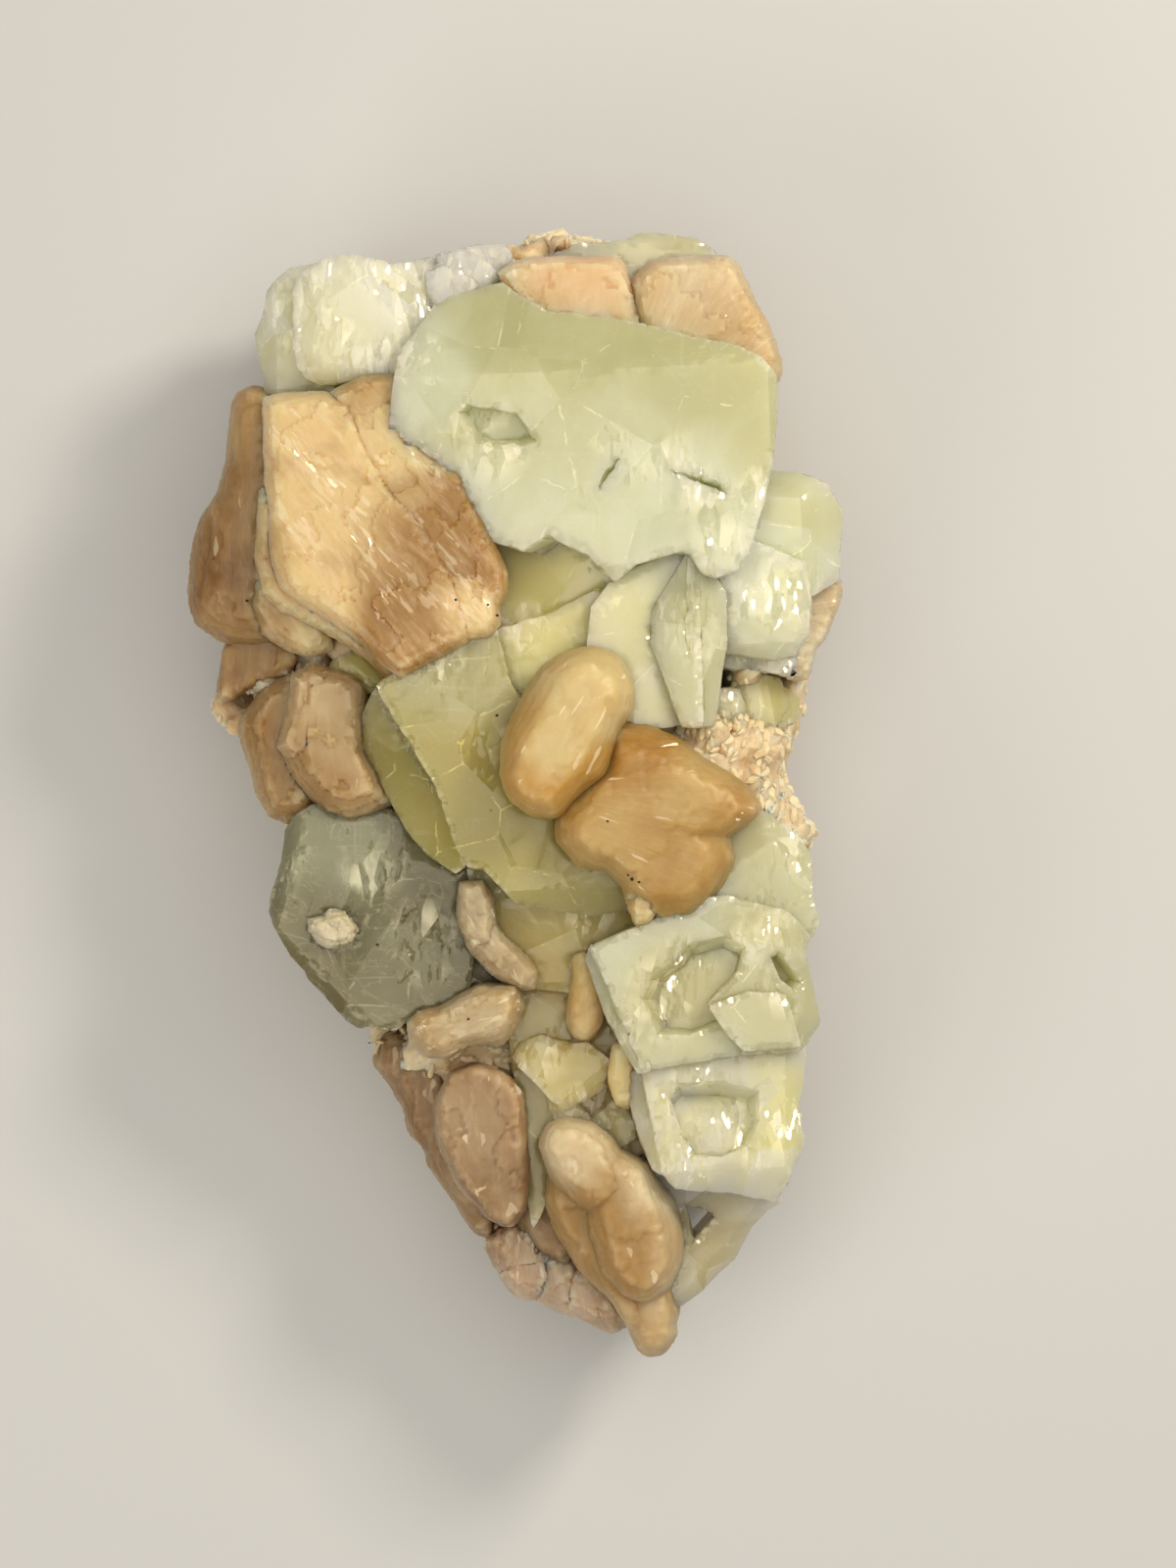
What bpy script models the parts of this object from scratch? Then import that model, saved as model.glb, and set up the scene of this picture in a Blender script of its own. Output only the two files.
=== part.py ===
"""Apophyllite cluster: pale green apophyllite crystals and peach stilbite sheaves on a drusy matrix.

The specimen lies on the broken back of its matrix, at Z = 0. +Z is towards the viewer, +Y towards the
wide end and +X to the right. Outlines are given as picture points, in pixels of a 1200 x 1600 picture
taken from straight above, and every height is in millimetres above the surface it lies on.
"""

import math
import random

import bmesh
import bpy
from mathutils import Vector

MM = 0.001

# Driving dimensions
PIXEL = 0.1  # millimetres on the specimen for one picture pixel, at FOCUS_HEIGHT
FOCUS_HEIGHT = 32.0
EYE_HEIGHT = 630.0
PICTURE_AXIS = (600, 800)  # the picture point straight below the eye
SPECIMEN_CENTRE = (525.3, 811.4)  # the picture point over the origin
CONTACT_GAP = 0.32  # between crystals that touch
CRYSTAL_FOOT = 14.0  # the level where the large crystals end, just above the core of the matrix
MATRIX_SEED = 11

# Colours, as sRGB
APOPHYLLITE = (0.79, 0.83, 0.66)
STILBITE = (0.87, 0.69, 0.50)
DRUSE = (0.84, 0.75, 0.66)
CALCITE = (0.92, 0.90, 0.82)


# Picture points and heights

def eye():
    """The viewer's eye, in millimetres."""
    x = (PICTURE_AXIS[0] - SPECIMEN_CENTRE[0]) * PIXEL
    y = (SPECIMEN_CENTRE[1] - PICTURE_AXIS[1]) * PIXEL
    return Vector((x, y, EYE_HEIGHT))


def sight(px, py):
    """The direction from the eye through a picture point."""
    x = (px - SPECIMEN_CENTRE[0]) * PIXEL
    y = (SPECIMEN_CENTRE[1] - py) * PIXEL
    return Vector((x, y, FOCUS_HEIGHT)) - eye()


def seen_at(px, py, height):
    """The point at that height which lies under a picture point."""
    ray = sight(px, py)
    return eye() + ray * ((height - EYE_HEIGHT) / ray.z)


def lean(east, north):
    """The unit normal of a face that leans east and north by those degrees."""
    return Vector((math.tan(math.radians(east)), math.tan(math.radians(north)), 1)).normalized()


def on_plane(px, py, seat, normal):
    """The point of a plane which lies under a picture point."""
    ray = sight(px, py)
    return eye() + ray * (normal.dot(seat - eye()) / normal.dot(ray))


# Shapes

def stacked(rings):
    """A closed mesh through rings of points, from the lowest ring to the highest."""
    bm = bmesh.new()
    loops = [[bm.verts.new(p * MM) for p in ring] for ring in rings]
    count = len(loops[0])
    for low, high in zip(loops, loops[1:]):
        for i in range(count):
            j = (i + 1) % count
            bm.faces.new((low[i], low[j], high[j]))
            bm.faces.new((low[i], high[j], high[i]))
    bm.faces.new(loops[-1])
    bm.faces.new(list(reversed(loops[0])))
    bmesh.ops.recalc_face_normals(bm, faces=bm.faces)
    return bm


def faceted(face, sides, taper, foot):
    """A closed mesh below a flat face: its walls are broad facets that narrow towards a level foot."""
    middle = sum(face, Vector()) / len(face)
    count = len(face)
    owner = [i * sides // count for i in range(count)]
    bm = bmesh.new()
    top = [bm.verts.new(p * MM) for p in face]
    base = []
    for side in range(sides):
        own = [p for p, k in zip(face, owner) if k == side]
        corner = middle + (sum(own, Vector()) / len(own) - middle) * taper
        base.append(bm.verts.new(Vector((corner.x, corner.y, foot)) * MM))
    for i in range(count):
        j = (i + 1) % count
        here, there = base[owner[i]], base[owner[j]]
        bm.faces.new((here, top[j], top[i]))
        if here is not there:
            bm.faces.new((here, there, top[j]))
    bm.faces.new(top)
    bm.faces.new(list(reversed(base)))
    bmesh.ops.recalc_face_normals(bm, faces=bm.faces)
    return bm


def cut_off(bm, point, normal):
    """Cuts away what lies beyond a plane, and closes the cut with a flat face."""
    geometry = bm.verts[:] + bm.edges[:] + bm.faces[:]
    cut = bmesh.ops.bisect_plane(
        bm, geom=geometry, dist=1e-7, plane_co=point * MM, plane_no=normal, clear_outer=True
    )
    edges = [e for e in cut["geom_cut"] if isinstance(e, bmesh.types.BMEdge)]
    bmesh.ops.holes_fill(bm, edges=edges)
    bmesh.ops.recalc_face_normals(bm, faces=bm.faces)


def crystal(outline, seat, east=0, north=0, facets=(), sides=7, taper=0.97, foot=CRYSTAL_FOOT):
    """A crystal whose flat face has that outline. seat is a picture point and its height on the face.

    Each facet is a picture point on the face, the compass direction it looks to, in degrees
    counter-clockwise from east, and its angle from the face.
    """
    normal = lean(east, north)
    on_face = seen_at(*seat)
    face = [on_plane(px, py, on_face, normal) for px, py in outline]
    bm = faceted(face, min(sides, len(face)), taper, foot)
    for px, py, compass, angle in facets:
        turn = math.radians(compass)
        level = Vector((math.cos(turn), math.sin(turn), 0))
        along = (level - normal * level.dot(normal)).normalized()
        tilt = math.radians(angle)
        beyond = normal * math.cos(tilt) + along * math.sin(tilt)
        cut_off(bm, on_plane(px, py, on_face, normal), beyond)
    return bm


def hollow(outline, seat, east=0, north=0, depth=5.0, flare=1.0):
    """The shape of a hollow: its mouth lies on a leaning plane, and its floor is flare times as wide."""
    normal = lean(east, north)
    on_mouth = seen_at(*seat)
    mouth = [on_plane(px, py, on_mouth, normal) for px, py in outline]
    middle = sum(mouth, Vector()) / len(mouth)
    floor = [middle + (p - middle) * flare - normal * depth for p in mouth]
    return stacked([floor, mouth])


# Rings of a rounded body: share of the way out from the spine, and share of the crown's drop
ROUND = ((0.52, 0.0), (0.87, 0.33), (1.0, 1.0))
PLATE = ((0.84, 0.0), (0.96, 0.25), (1.0, 1.0))


def nearest_on(spine, px, py):
    """The point of the spine, a straight run between two picture points, nearest to a picture point."""
    (ax, ay), (bx, by) = spine
    length2 = (bx - ax) ** 2 + (by - ay) ** 2
    along = ((px - ax) * (bx - ax) + (py - ay) * (by - ay)) / length2
    along = min(1.0, max(0.0, along))
    return ax + (bx - ax) * along, ay + (by - ay) * along


def body(outline, spine, seat, crown, depth=None, east=0, north=0, profile=ROUND, foot=0.8):
    """A rounded body with that outline, domed over its spine.

    seat is a picture point and the crown's height there. Without a depth the body reaches the level
    where the crystals end.
    """
    slope_east = math.tan(math.radians(east))
    slope_north = math.tan(math.radians(north))

    def ring(share, drop):
        points = []
        for px, py in outline:
            sx, sy = nearest_on(spine, px, py)
            qx = sx + (px - sx) * share
            qy = sy + (py - sy) * share
            fall = ((qx - seat[0]) * slope_east + (seat[1] - qy) * slope_north) * PIXEL
            height = CRYSTAL_FOOT if drop is None else seat[2] - fall - drop
            points.append(seen_at(qx, qy, height))
        return points

    rings = [ring(share, crown * drop) for share, drop in reversed(profile)]
    return stacked([ring(foot, depth), *rings])


# Joining and parting

def keep_largest(bm):
    """Drops all but the largest body of a mesh."""
    left = set(bm.faces)
    bodies = []
    while left:
        found = {left.pop()}
        open_faces = set(found)
        while open_faces:
            near = {f for face in open_faces for e in face.edges for f in e.link_faces}
            open_faces = near & left
            left -= open_faces
            found |= open_faces
        bodies.append(found)
    bodies.sort(key=lambda faces: sum(f.calc_area() for f in faces))
    for faces in bodies[:-1]:
        bmesh.ops.delete(bm, geom=list(faces), context="FACES")


def grown(bm, gap):
    """A copy of a mesh with every face moved out by gap millimetres."""
    wide = bm.copy()
    wide.normal_update()
    moves = [v.normal * min(v.calc_shell_factor(), 2.5) * gap * MM for v in wide.verts]
    for vert, move in zip(wide.verts, moves):
        vert.co += move
    return wide


def helper(bm, name):
    """A hidden object that holds a mesh for a Boolean."""
    mesh = bpy.data.meshes.new(name)
    bm.to_mesh(mesh)
    obj = bpy.data.objects.new(name, mesh)
    obj.hide_render = True
    obj.display_type = "WIRE"
    bpy.context.scene.collection.objects.link(obj)
    return obj


def box_of(bm):
    """The lowest and highest corners of a mesh."""
    points = [v.co for v in bm.verts]
    low = Vector(min(p[i] for p in points) for i in range(3))
    high = Vector(max(p[i] for p in points) for i in range(3))
    return low, high


def meets(one, other):
    """Whether the boxes of two meshes overlap."""
    low_a, high_a = box_of(one)
    low_b, high_b = box_of(other)
    return all(low_a[i] < high_b[i] and low_b[i] < high_a[i] for i in range(3))


def combined(first, others, operation):
    """The mesh of first after a Boolean with each of the others."""
    if not others:
        return first
    base = helper(first, "base")
    tools = [helper(bm, "tool") for bm in others]
    group = bpy.data.collections.new("tools")
    for tool in tools:
        group.objects.link(tool)
    modifier = base.modifiers.new("join", "BOOLEAN")
    modifier.operation = operation
    modifier.solver = "EXACT"
    modifier.operand_type = "COLLECTION"
    modifier.collection = group
    bpy.context.view_layer.update()
    evaluated = base.evaluated_get(bpy.context.evaluated_depsgraph_get())
    bm = bmesh.new()
    bm.from_mesh(evaluated.to_mesh())
    evaluated.to_mesh_clear()
    for obj in [base, *tools]:
        bpy.data.objects.remove(obj)
    bpy.data.collections.remove(group)
    return bm


def tidied(bm):
    """A closed mesh of triangles, with short edges merged as far as the shape allows."""
    keep_largest(bm)
    volume = bm.calc_volume()
    for distance in (0.16, 0.12, 0.08, 0.05, 0.02, 0.005, 0.001, 0.0):
        trial = bm.copy()
        bmesh.ops.remove_doubles(trial, verts=trial.verts, dist=distance * MM)
        bmesh.ops.triangulate(trial, faces=trial.faces)
        bmesh.ops.dissolve_degenerate(trial, edges=trial.edges, dist=distance * 0.4 * MM)
        bmesh.ops.triangulate(trial, faces=trial.faces)
        keep_largest(trial)
        bmesh.ops.recalc_face_normals(trial, faces=trial.faces)
        closed = all(edge.is_manifold for edge in trial.edges)
        if closed and abs(trial.calc_volume() - volume) < 0.001 * volume + 0.5 * MM**3:
            break
    return trial


# Apophyllite crystals

def upper_block():
    """The largest crystal: a broad face with a hopper pit, and a bevelled band along its upper edge."""
    outline = (
        (447, 300), (508, 283), (530, 300), (562, 318), (610, 324), (654, 330), (708, 345), (752, 354),
        (776, 366), (791, 384), (792, 425), (785, 480), (773, 524), (762, 564), (753, 578), (731, 588),
        (717, 582), (705, 563), (697, 560), (649, 574), (627, 592), (602, 565), (557, 544), (533, 560),
        (490, 546), (470, 500), (420, 470), (398, 440), (402, 400), (408, 360), (428, 330),
    )
    band = (600, 378, 92, 24)
    right_edge = (786, 470, 2, 38)
    block = crystal(outline, (600, 470, 40.5), east=-7, north=-2, facets=(band, right_edge))
    pit = (
        (446, 420), (459, 408), (515, 416), (532, 419), (546, 439), (557, 461), (537, 468), (495, 470),
        (475, 463), (462, 446),
    )
    crack = ((600, 500), (612, 474), (634, 458), (630, 476), (612, 496), (606, 508))
    slit = ((668, 470), (690, 470), (742, 486), (752, 504), (738, 506), (700, 488))
    hollows = [
        hollow(pit, (495, 440, 42.6), east=-7, north=-12, depth=5.2, flare=0.62),
        hollow(crack, (615, 480, 43.5), east=-7, north=-2, depth=4.6, flare=0.5),
        hollow(slit, (700, 486, 44.0), east=-7, north=8, depth=4.8, flare=0.5),
    ]
    return [block], hollows


def right_block():
    """The crystal behind the largest one's right edge, with a rough lower half."""
    upper = crystal(
        (
            (735, 500), (784, 480), (814, 482), (829, 487), (846, 496), (860, 521), (857, 555), (855, 592),
            (822, 610), (735, 610),
        ),
        (780, 550, 35.0), east=2, north=-3,
        facets=((818, 560, 3, 34), (790, 508, 88, 42)),
    )
    lower = crystal(
        (
            (700, 560), (740, 540), (822, 576), (826, 614), (824, 646), (811, 666), (790, 671), (736, 663),
            (727, 655), (722, 610),
        ),
        (780, 620, 35.6), east=3, north=-8, facets=((780, 655, -88, 40),),
    )
    ledge = crystal(
        ((730, 650), (812, 655), (812, 690), (788, 683), (734, 678)),
        (780, 670, 31.0), north=-6,
    )
    return [upper, lower, ledge], []


def top_plate():
    """The pale crystal behind the two upper stilbites."""
    outline = (
        (560, 262), (593, 250), (621, 249), (643, 245), (651, 239), (675, 239), (710, 245), (722, 254),
        (736, 264), (748, 290), (740, 345), (600, 345), (560, 310),
    )
    return [crystal(outline, (660, 262, 26.5), north=9, facets=((655, 250, 90, 48),))], []


def upper_left():
    """The pearly crystals at the upper left, grown together."""
    pearly = crystal(
        (
            (300, 285), (327, 268), (348, 262), (364, 263), (392, 267), (398, 274), (430, 300), (440, 330),
            (430, 360), (404, 388), (365, 384), (340, 389), (327, 390), (313, 384), (305, 374), (301, 350),
        ),
        (366, 320, 33.5), east=-5, north=3,
        facets=((330, 320, 178, 20), (385, 300, 34, 24), (350, 372, -100, 30)),
    )
    olive = crystal(
        (
            (262, 350), (261, 337), (269, 323), (274, 294), (294, 276), (330, 268), (350, 300), (340, 400),
            (300, 402), (270, 400), (269, 376),
        ),
        (300, 330, 29.0), east=-9, facets=((284, 330, 180, 40),),
    )
    step = crystal(
        ((385, 268), (398, 271), (418, 270), (440, 262), (452, 300), (440, 345), (405, 345)),
        (420, 295, 30.5), east=6, north=8, facets=((434, 300, 10, 30),),
    )
    return [pearly, olive, step], []


def white_crystal():
    """The milky crystal in the notch of the upper edge."""
    upper = crystal(
        (
            (447, 262), (470, 256), (490, 251), (513, 251), (521, 260), (520, 272), (492, 300), (462, 302),
            (446, 286),
        ),
        (485, 268, 29.5), east=3, north=12, facets=((480, 258, 95, 40),),
    )
    lower = crystal(
        ((436, 280), (452, 274), (470, 280), (486, 290), (470, 312), (440, 312)),
        (458, 288, 31.0), north=4,
    )
    return [upper, lower], []


def middle_wedge():
    """The shaded crystal below the largest one, and the wedge that points down from it."""
    shaded = crystal(
        ((488, 540), (560, 530), (640, 575), (625, 606), (604, 621), (560, 634), (500, 660), (480, 610)),
        (560, 590, 33.0), east=-16, north=-14,
    )
    wedge = crystal(
        (
            (490, 660), (505, 645), (560, 628), (605, 606), (640, 580), (640, 640), (600, 690), (556, 700),
            (545, 745), (528, 726), (505, 698),
        ),
        (560, 660, 34.5), east=-4, north=-9,
    )
    return [shaded, wedge], []


def middle_plate():
    """The bright plate beside the spindle."""
    outline = (
        (605, 620), (622, 598), (642, 584), (668, 572), (704, 562), (690, 590), (668, 625), (667, 650),
        (680, 690), (698, 738), (670, 742), (640, 736), (620, 690), (600, 664),
    )
    return [crystal(outline, (640, 640, 36.6), east=5, north=-3)], []


def spindle():
    """The grey crystal with a long ridge and pointed ends."""
    west = crystal(
        ((704, 563), (712, 575), (716, 740), (698, 740), (680, 692), (666, 655), (667, 625)),
        (706, 650, 38.0), east=-16,
    )
    east = crystal(
        ((704, 563), (722, 580), (738, 604), (740, 655), (734, 690), (728, 738), (712, 740), (700, 640)),
        (708, 650, 38.0), east=14, north=-2,
    )
    return [west, east], []


def centre_block():
    """The large crystal whose left side shows below a straight edge."""
    face = (
        (385, 700), (430, 671), (474, 645), (493, 639), (506, 645), (520, 700), (560, 760), (620, 830),
        (662, 880), (660, 925), (600, 935), (530, 922), (493, 884), (478, 884), (466, 862), (446, 800),
        (426, 768), (404, 733),
    )
    block = crystal(
        face, (450, 720, 37.5), east=9, north=-4, facets=((600, 905, -88, 30),)
    )
    side = crystal(
        (
            (384, 703), (430, 780), (470, 840), (478, 880), (465, 889), (440, 872), (419, 850), (401, 818),
            (385, 785), (371, 760), (372, 728),
        ),
        (420, 790, 34.0), east=-26, north=-6,
    )
    return [block, side], []


def lower_left_block():
    """The clear bluish crystal at the left, with a bevelled left edge and a stepped upper face."""
    outline = (
        (294, 838), (312, 826), (328, 818), (366, 824), (400, 826), (424, 846), (456, 880), (478, 886),
        (484, 940), (480, 1000), (470, 1022), (427, 1036), (390, 1051), (377, 1044), (367, 1047),
        (356, 1042), (333, 1015), (316, 998), (313, 990), (298, 974), (275, 932), (279, 909), (289, 877),
    )
    left_edge = (304, 880, 164, 52)
    lower_edge = (322, 985, 222, 34)
    upper_step = (380, 876, 86, 15)
    block = crystal(
        outline, (380, 930, 30.0), east=5, north=-5, facets=(left_edge, lower_edge, upper_step)
    )
    right_step = crystal(
        ((415, 960), (450, 944), (485, 950), (520, 1000), (470, 1020), (430, 1010)),
        (460, 980, 27.5), east=14, north=-3,
    )
    return [block, right_step], []


def lower_middle():
    """The sunken crystals between the stilbite blades."""
    upper = crystal(
        ((478, 888), (540, 900), (640, 912), (662, 925), (662, 1010), (600, 1014), (545, 1006), (496, 960)),
        (570, 950, 29.0), north=-12,
    )
    olive = crystal(
        (
            (520, 1000), (600, 995), (655, 990), (662, 1130), (640, 1170), (600, 1180), (572, 1175),
            (560, 1215), (545, 1250), (536, 1200), (532, 1130), (522, 1070),
        ),
        (590, 1060, 24.5), north=3,
    )
    small = crystal(
        (
            (522, 1080), (532, 1066), (552, 1058), (580, 1068), (600, 1066), (622, 1084), (612, 1112),
            (588, 1124), (574, 1134), (548, 1104),
        ),
        (570, 1088, 28.2), east=-4, north=9, facets=((540, 1078, 150, 38), (600, 1100, -50, 30)), foot=22,
    )
    shard = crystal(
        (
            (560, 1118), (576, 1114), (590, 1130), (604, 1144), (634, 1120), (650, 1160), (610, 1180),
            (574, 1172),
        ),
        (600, 1140, 27.5), east=-8, north=6, foot=21,
    )
    return [upper, olive, small, shard], []


def lower_right_block():
    """The large crystal at the lower right, with a deep rough pit, and the smaller crystals behind it."""
    block = crystal(
        (
            (604, 968), (640, 952), (668, 940), (690, 922), (740, 916), (800, 930), (826, 955), (819, 972),
            (827, 1002), (836, 1047), (823, 1063), (813, 1071), (757, 1074), (656, 1091), (636, 1040),
            (620, 1002),
        ),
        (720, 1000, 37.0), east=5, north=-3, facets=((812, 1010, 2, 32),),
    )
    step = crystal(
        ((726, 1027), (762, 1014), (801, 1016), (815, 1066), (760, 1071), (742, 1052)),
        (770, 1045, 37.9), east=9, north=2, foot=33,
    )
    pit = (
        (648, 1020), (658, 996), (687, 972), (700, 958), (723, 951), (742, 946), (768, 958), (760, 988),
        (724, 1026), (740, 1050), (700, 1066), (662, 1062),
    )
    pit_cut = hollow(pit, (700, 1005, 39.0), east=-6, north=7, depth=5.0, flare=0.74)
    chip = hollow(
        ((786, 972), (800, 964), (820, 990), (830, 1006), (818, 1018), (800, 1004)),
        (806, 995, 38.8), east=14, depth=5.0, flare=0.6,
    )
    side = crystal(
        ((604, 966), (664, 1092), (652, 1093), (634, 1062), (618, 1030), (600, 978)),
        (625, 1020, 35.6), east=-30, north=-4,
    )
    behind = crystal(
        (
            (720, 935), (726, 905), (745, 876), (741, 852), (756, 842), (780, 829), (804, 846), (819, 860),
            (827, 881), (826, 913), (834, 941), (822, 962), (780, 945),
        ),
        (785, 900, 33.5), east=8, north=5, facets=((795, 865, 40, 34), (770, 872, 128, 16)),
    )
    return [block, step, side, behind], [pit_cut, chip]


def bottom_block():
    """The bright crystal below it, with a rim round a broken hollow."""
    block = crystal(
        (
            (657, 1094), (700, 1078), (757, 1066), (813, 1062), (822, 1068), (819, 1100), (812, 1130),
            (817, 1163), (815, 1178), (806, 1190), (803, 1208), (790, 1226), (740, 1216), (690, 1212),
            (676, 1196), (668, 1150),
        ),
        (735, 1130, 34.5), east=4, north=-4, facets=((800, 1130, 0, 30), (740, 1192, -88, 26)),
    )
    mouth = (
        (676, 1112), (690, 1100), (740, 1098), (780, 1108), (784, 1140), (772, 1170), (740, 1184),
        (706, 1182), (690, 1156),
    )
    pit_cut = hollow(mouth, (730, 1140, 36.6), east=4, north=12, depth=5.2, flare=0.78)
    side = crystal(
        ((656, 1090), (678, 1198), (668, 1192), (655, 1164), (645, 1124), (644, 1092)),
        (660, 1140, 32.4), east=-32,
    )
    return [block, side], [pit_cut]


def bottom_rim():
    """The thin crystals that frame the three-cornered gap near the tip."""
    rim = crystal(
        (
            (668, 1196), (700, 1200), (790, 1214), (797, 1226), (781, 1234), (764, 1252), (758, 1263),
            (748, 1285), (732, 1298), (716, 1316), (690, 1335), (676, 1318), (684, 1270),
        ),
        (730, 1240, 26.5), east=6, north=-8, facets=((742, 1262, -40, 30),),
    )
    gap = hollow(((698, 1231), (722, 1236), (733, 1245), (708, 1274)), (712, 1245, 32.0), depth=34)
    return [rim], [gap]


def small_crystals():
    """The small smoky crystals in the pocket by the right rim."""
    parts = []
    for px, py, size, height, turn in (
        (775, 716, 30, 27.5, 12), (796, 722, 20, 25.5, 40), (744, 720, 18, 28.6, 65),
    ):
        turns = [math.radians(turn + 60 * i) for i in range(6)]
        corners = [(px + size * math.cos(a), py + size * math.sin(a)) for a in turns]
        parts.append(
            crystal(
                corners, (px, py, height), east=6,
                facets=((px + size * 0.35, py, 10, 38), (px - size * 0.35, py, 190, 38)),
            )
        )
    return parts, []


def small_left_crystal():
    """The small smoky crystal above the left bundle."""
    outline = ((335, 687), (341, 675), (362, 666), (380, 665), (396, 680), (396, 696), (380, 706), (350, 700))
    return [crystal(outline, (365, 684, 29.5), east=4, north=6, facets=((375, 680, 40, 34),))], []


# Stilbite sheaves and blades

def centre_lobe():
    """The upright oval sheaf in the middle."""
    outline = (
        (600, 662), (619, 666), (632, 676), (641, 692), (646, 707), (643, 725), (632, 740), (624, 762),
        (615, 788), (593, 806), (567, 832), (543, 830), (522, 815), (513, 792), (514, 760), (525, 732),
        (537, 710), (553, 684), (575, 668),
    )
    spine = ((602, 700), (550, 795))
    return [body(outline, spine, (580, 745, 45.5), crown=6.5, depth=14, north=3)], []


def centre_bowtie():
    """The broad bow-tie sheaf beside it: an upper fan, a waist and a lower fan."""
    upper = body(
        (
            (626, 740), (662, 742), (690, 755), (716, 776), (740, 790), (762, 806), (774, 824), (756, 842),
            (741, 852), (700, 872), (640, 868), (596, 850), (572, 832), (592, 806), (614, 790),
        ),
        ((650, 800), (726, 822)), (680, 800, 41.0), crown=5.0, depth=14, north=3, east=2,
    )
    lower = body(
        (
            (592, 806), (640, 800), (700, 820), (741, 852), (746, 876), (738, 894), (728, 910), (708, 932),
            (686, 935), (652, 945), (642, 930), (638, 905), (620, 886), (591, 881), (571, 858), (568, 838),
        ),
        ((620, 846), (700, 880)), (670, 862, 41.0), crown=5.5, depth=15, north=-3, east=2,
    )
    return [upper, lower], []


def left_sheaf():
    """The big curved sheaf: two overlapping plates with rounded ledges along the lower left."""
    front = body(
        (
            (272, 408), (296, 406), (330, 404), (356, 410), (372, 450), (400, 500), (440, 540), (466, 590),
            (484, 642), (474, 654), (440, 672), (410, 690), (396, 680), (372, 655), (340, 632), (306, 612),
            (288, 600), (278, 565), (276, 510), (273, 467),
        ),
        ((320, 460), (410, 620)), (350, 520, 38.5), crown=4.6, east=-7, north=5, profile=PLATE, foot=0.94,
    )
    right = body(
        (
            (340, 402), (370, 386), (404, 385), (402, 428), (410, 444), (440, 461), (472, 484), (484, 515),
            (500, 553), (515, 586), (513, 604), (505, 618), (506, 636), (498, 646), (470, 650), (430, 600),
            (390, 540), (355, 470),
        ),
        ((385, 430), (470, 590)), (430, 520, 38.9), crown=3.6, east=-5, north=7, profile=PLATE, foot=0.94,
    )
    back = body(
        (
            (268, 500), (300, 560), (420, 640), (420, 700), (404, 694), (376, 668), (346, 648), (310, 630),
            (288, 622), (272, 604), (264, 566),
        ),
        ((296, 580), (390, 660)), (320, 600, 34.5), crown=3.0, depth=15, profile=PLATE, foot=0.9,
    )
    knob = body(
        ((262, 590), (290, 600), (330, 640), (336, 660), (318, 668), (296, 662), (270, 644), (258, 622)),
        ((278, 618), (312, 648)), (295, 634, 31.5), crown=3.4, foot=0.85,
    )
    return [front, right, back, knob], []


def left_plate():
    """The thick plate that stands behind the big sheaf at the left."""
    outline = (
        (255, 397), (268, 400), (290, 420), (292, 520), (292, 600), (286, 648), (262, 654), (229, 653),
        (203, 634), (196, 614), (198, 564), (207, 532), (224, 506), (235, 467), (238, 432), (242, 406),
    )
    plate = body(outline, ((262, 450), (246, 600)), (250, 520, 30.5), crown=4.5, east=-8, foot=0.85)
    fin = body(
        (
            (240, 652), (290, 648), (300, 668), (292, 690), (262, 694), (234, 712), (224, 716), (228, 690),
            (231, 664),
        ),
        ((250, 672), (282, 672)), (262, 676, 25.5), crown=3.6, east=-8, profile=PLATE, foot=0.85,
    )
    return [plate, fin], []


def left_bundle():
    """The lobes side by side at the left edge, with grooves between them."""
    left = body(
        (
            (301, 687), (304, 700), (298, 730), (296, 760), (304, 790), (322, 812), (324, 823), (314, 834),
            (293, 837), (276, 830), (266, 811), (260, 786), (253, 770), (246, 742), (252, 732), (272, 703),
        ),
        ((285, 725), (290, 800)), (282, 760, 29.0), crown=5.5, east=-8,
    )
    middle = body(
        (
            (300, 690), (320, 681), (334, 686), (334, 715), (326, 745), (312, 772), (298, 776), (286, 762),
            (290, 745), (298, 714),
        ),
        ((316, 705), (304, 755)), (308, 735, 33.2), crown=4.0, depth=9, east=-4,
    )
    right = body(
        (
            (304, 690), (333, 685), (354, 688), (370, 699), (373, 733), (372, 764), (388, 786), (400, 819),
            (376, 830), (358, 835), (336, 828), (316, 810), (298, 790), (290, 770), (296, 740),
        ),
        ((338, 715), (348, 790)), (340, 755, 33.4), crown=5.2, east=2,
    )
    return [left, middle, right], []


def top_left_stilbite():
    """The left one of the two peach crystals behind the largest crystal."""
    outline = (
        (510, 279), (522, 272), (539, 268), (570, 266), (602, 266), (628, 265), (634, 272), (645, 302),
        (656, 330), (656, 350), (600, 350), (550, 330), (524, 298),
    )
    spine = ((560, 296), (620, 312))
    return [body(outline, spine, (600, 290, 34.0), 4.0, north=5, profile=PLATE, foot=0.92)], []


def top_right_stilbite():
    """The right one of the two, a broad fan with a rounded outer edge."""
    outline = (
        (646, 291), (655, 279), (668, 270), (697, 266), (736, 265), (744, 265), (751, 272), (764, 304),
        (781, 334), (793, 369), (794, 380), (790, 388), (740, 380), (680, 360), (656, 345),
    )
    spine = ((700, 305), (748, 340))
    return [body(outline, spine, (716, 305, 34.5), 5.0, east=5, north=3, profile=PLATE, foot=0.92)], []


def right_wedge():
    """The peach blade that juts out at the right rim."""
    outline = (
        (806, 560), (821, 577), (832, 584), (853, 592), (856, 599), (854, 615), (847, 632), (838, 650),
        (828, 662), (822, 690), (806, 690), (800, 640),
    )
    spine = ((826, 600), (818, 660))
    return [body(outline, spine, (830, 610, 30.0), 3.0, east=8, profile=PLATE, foot=0.85)], []


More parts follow.
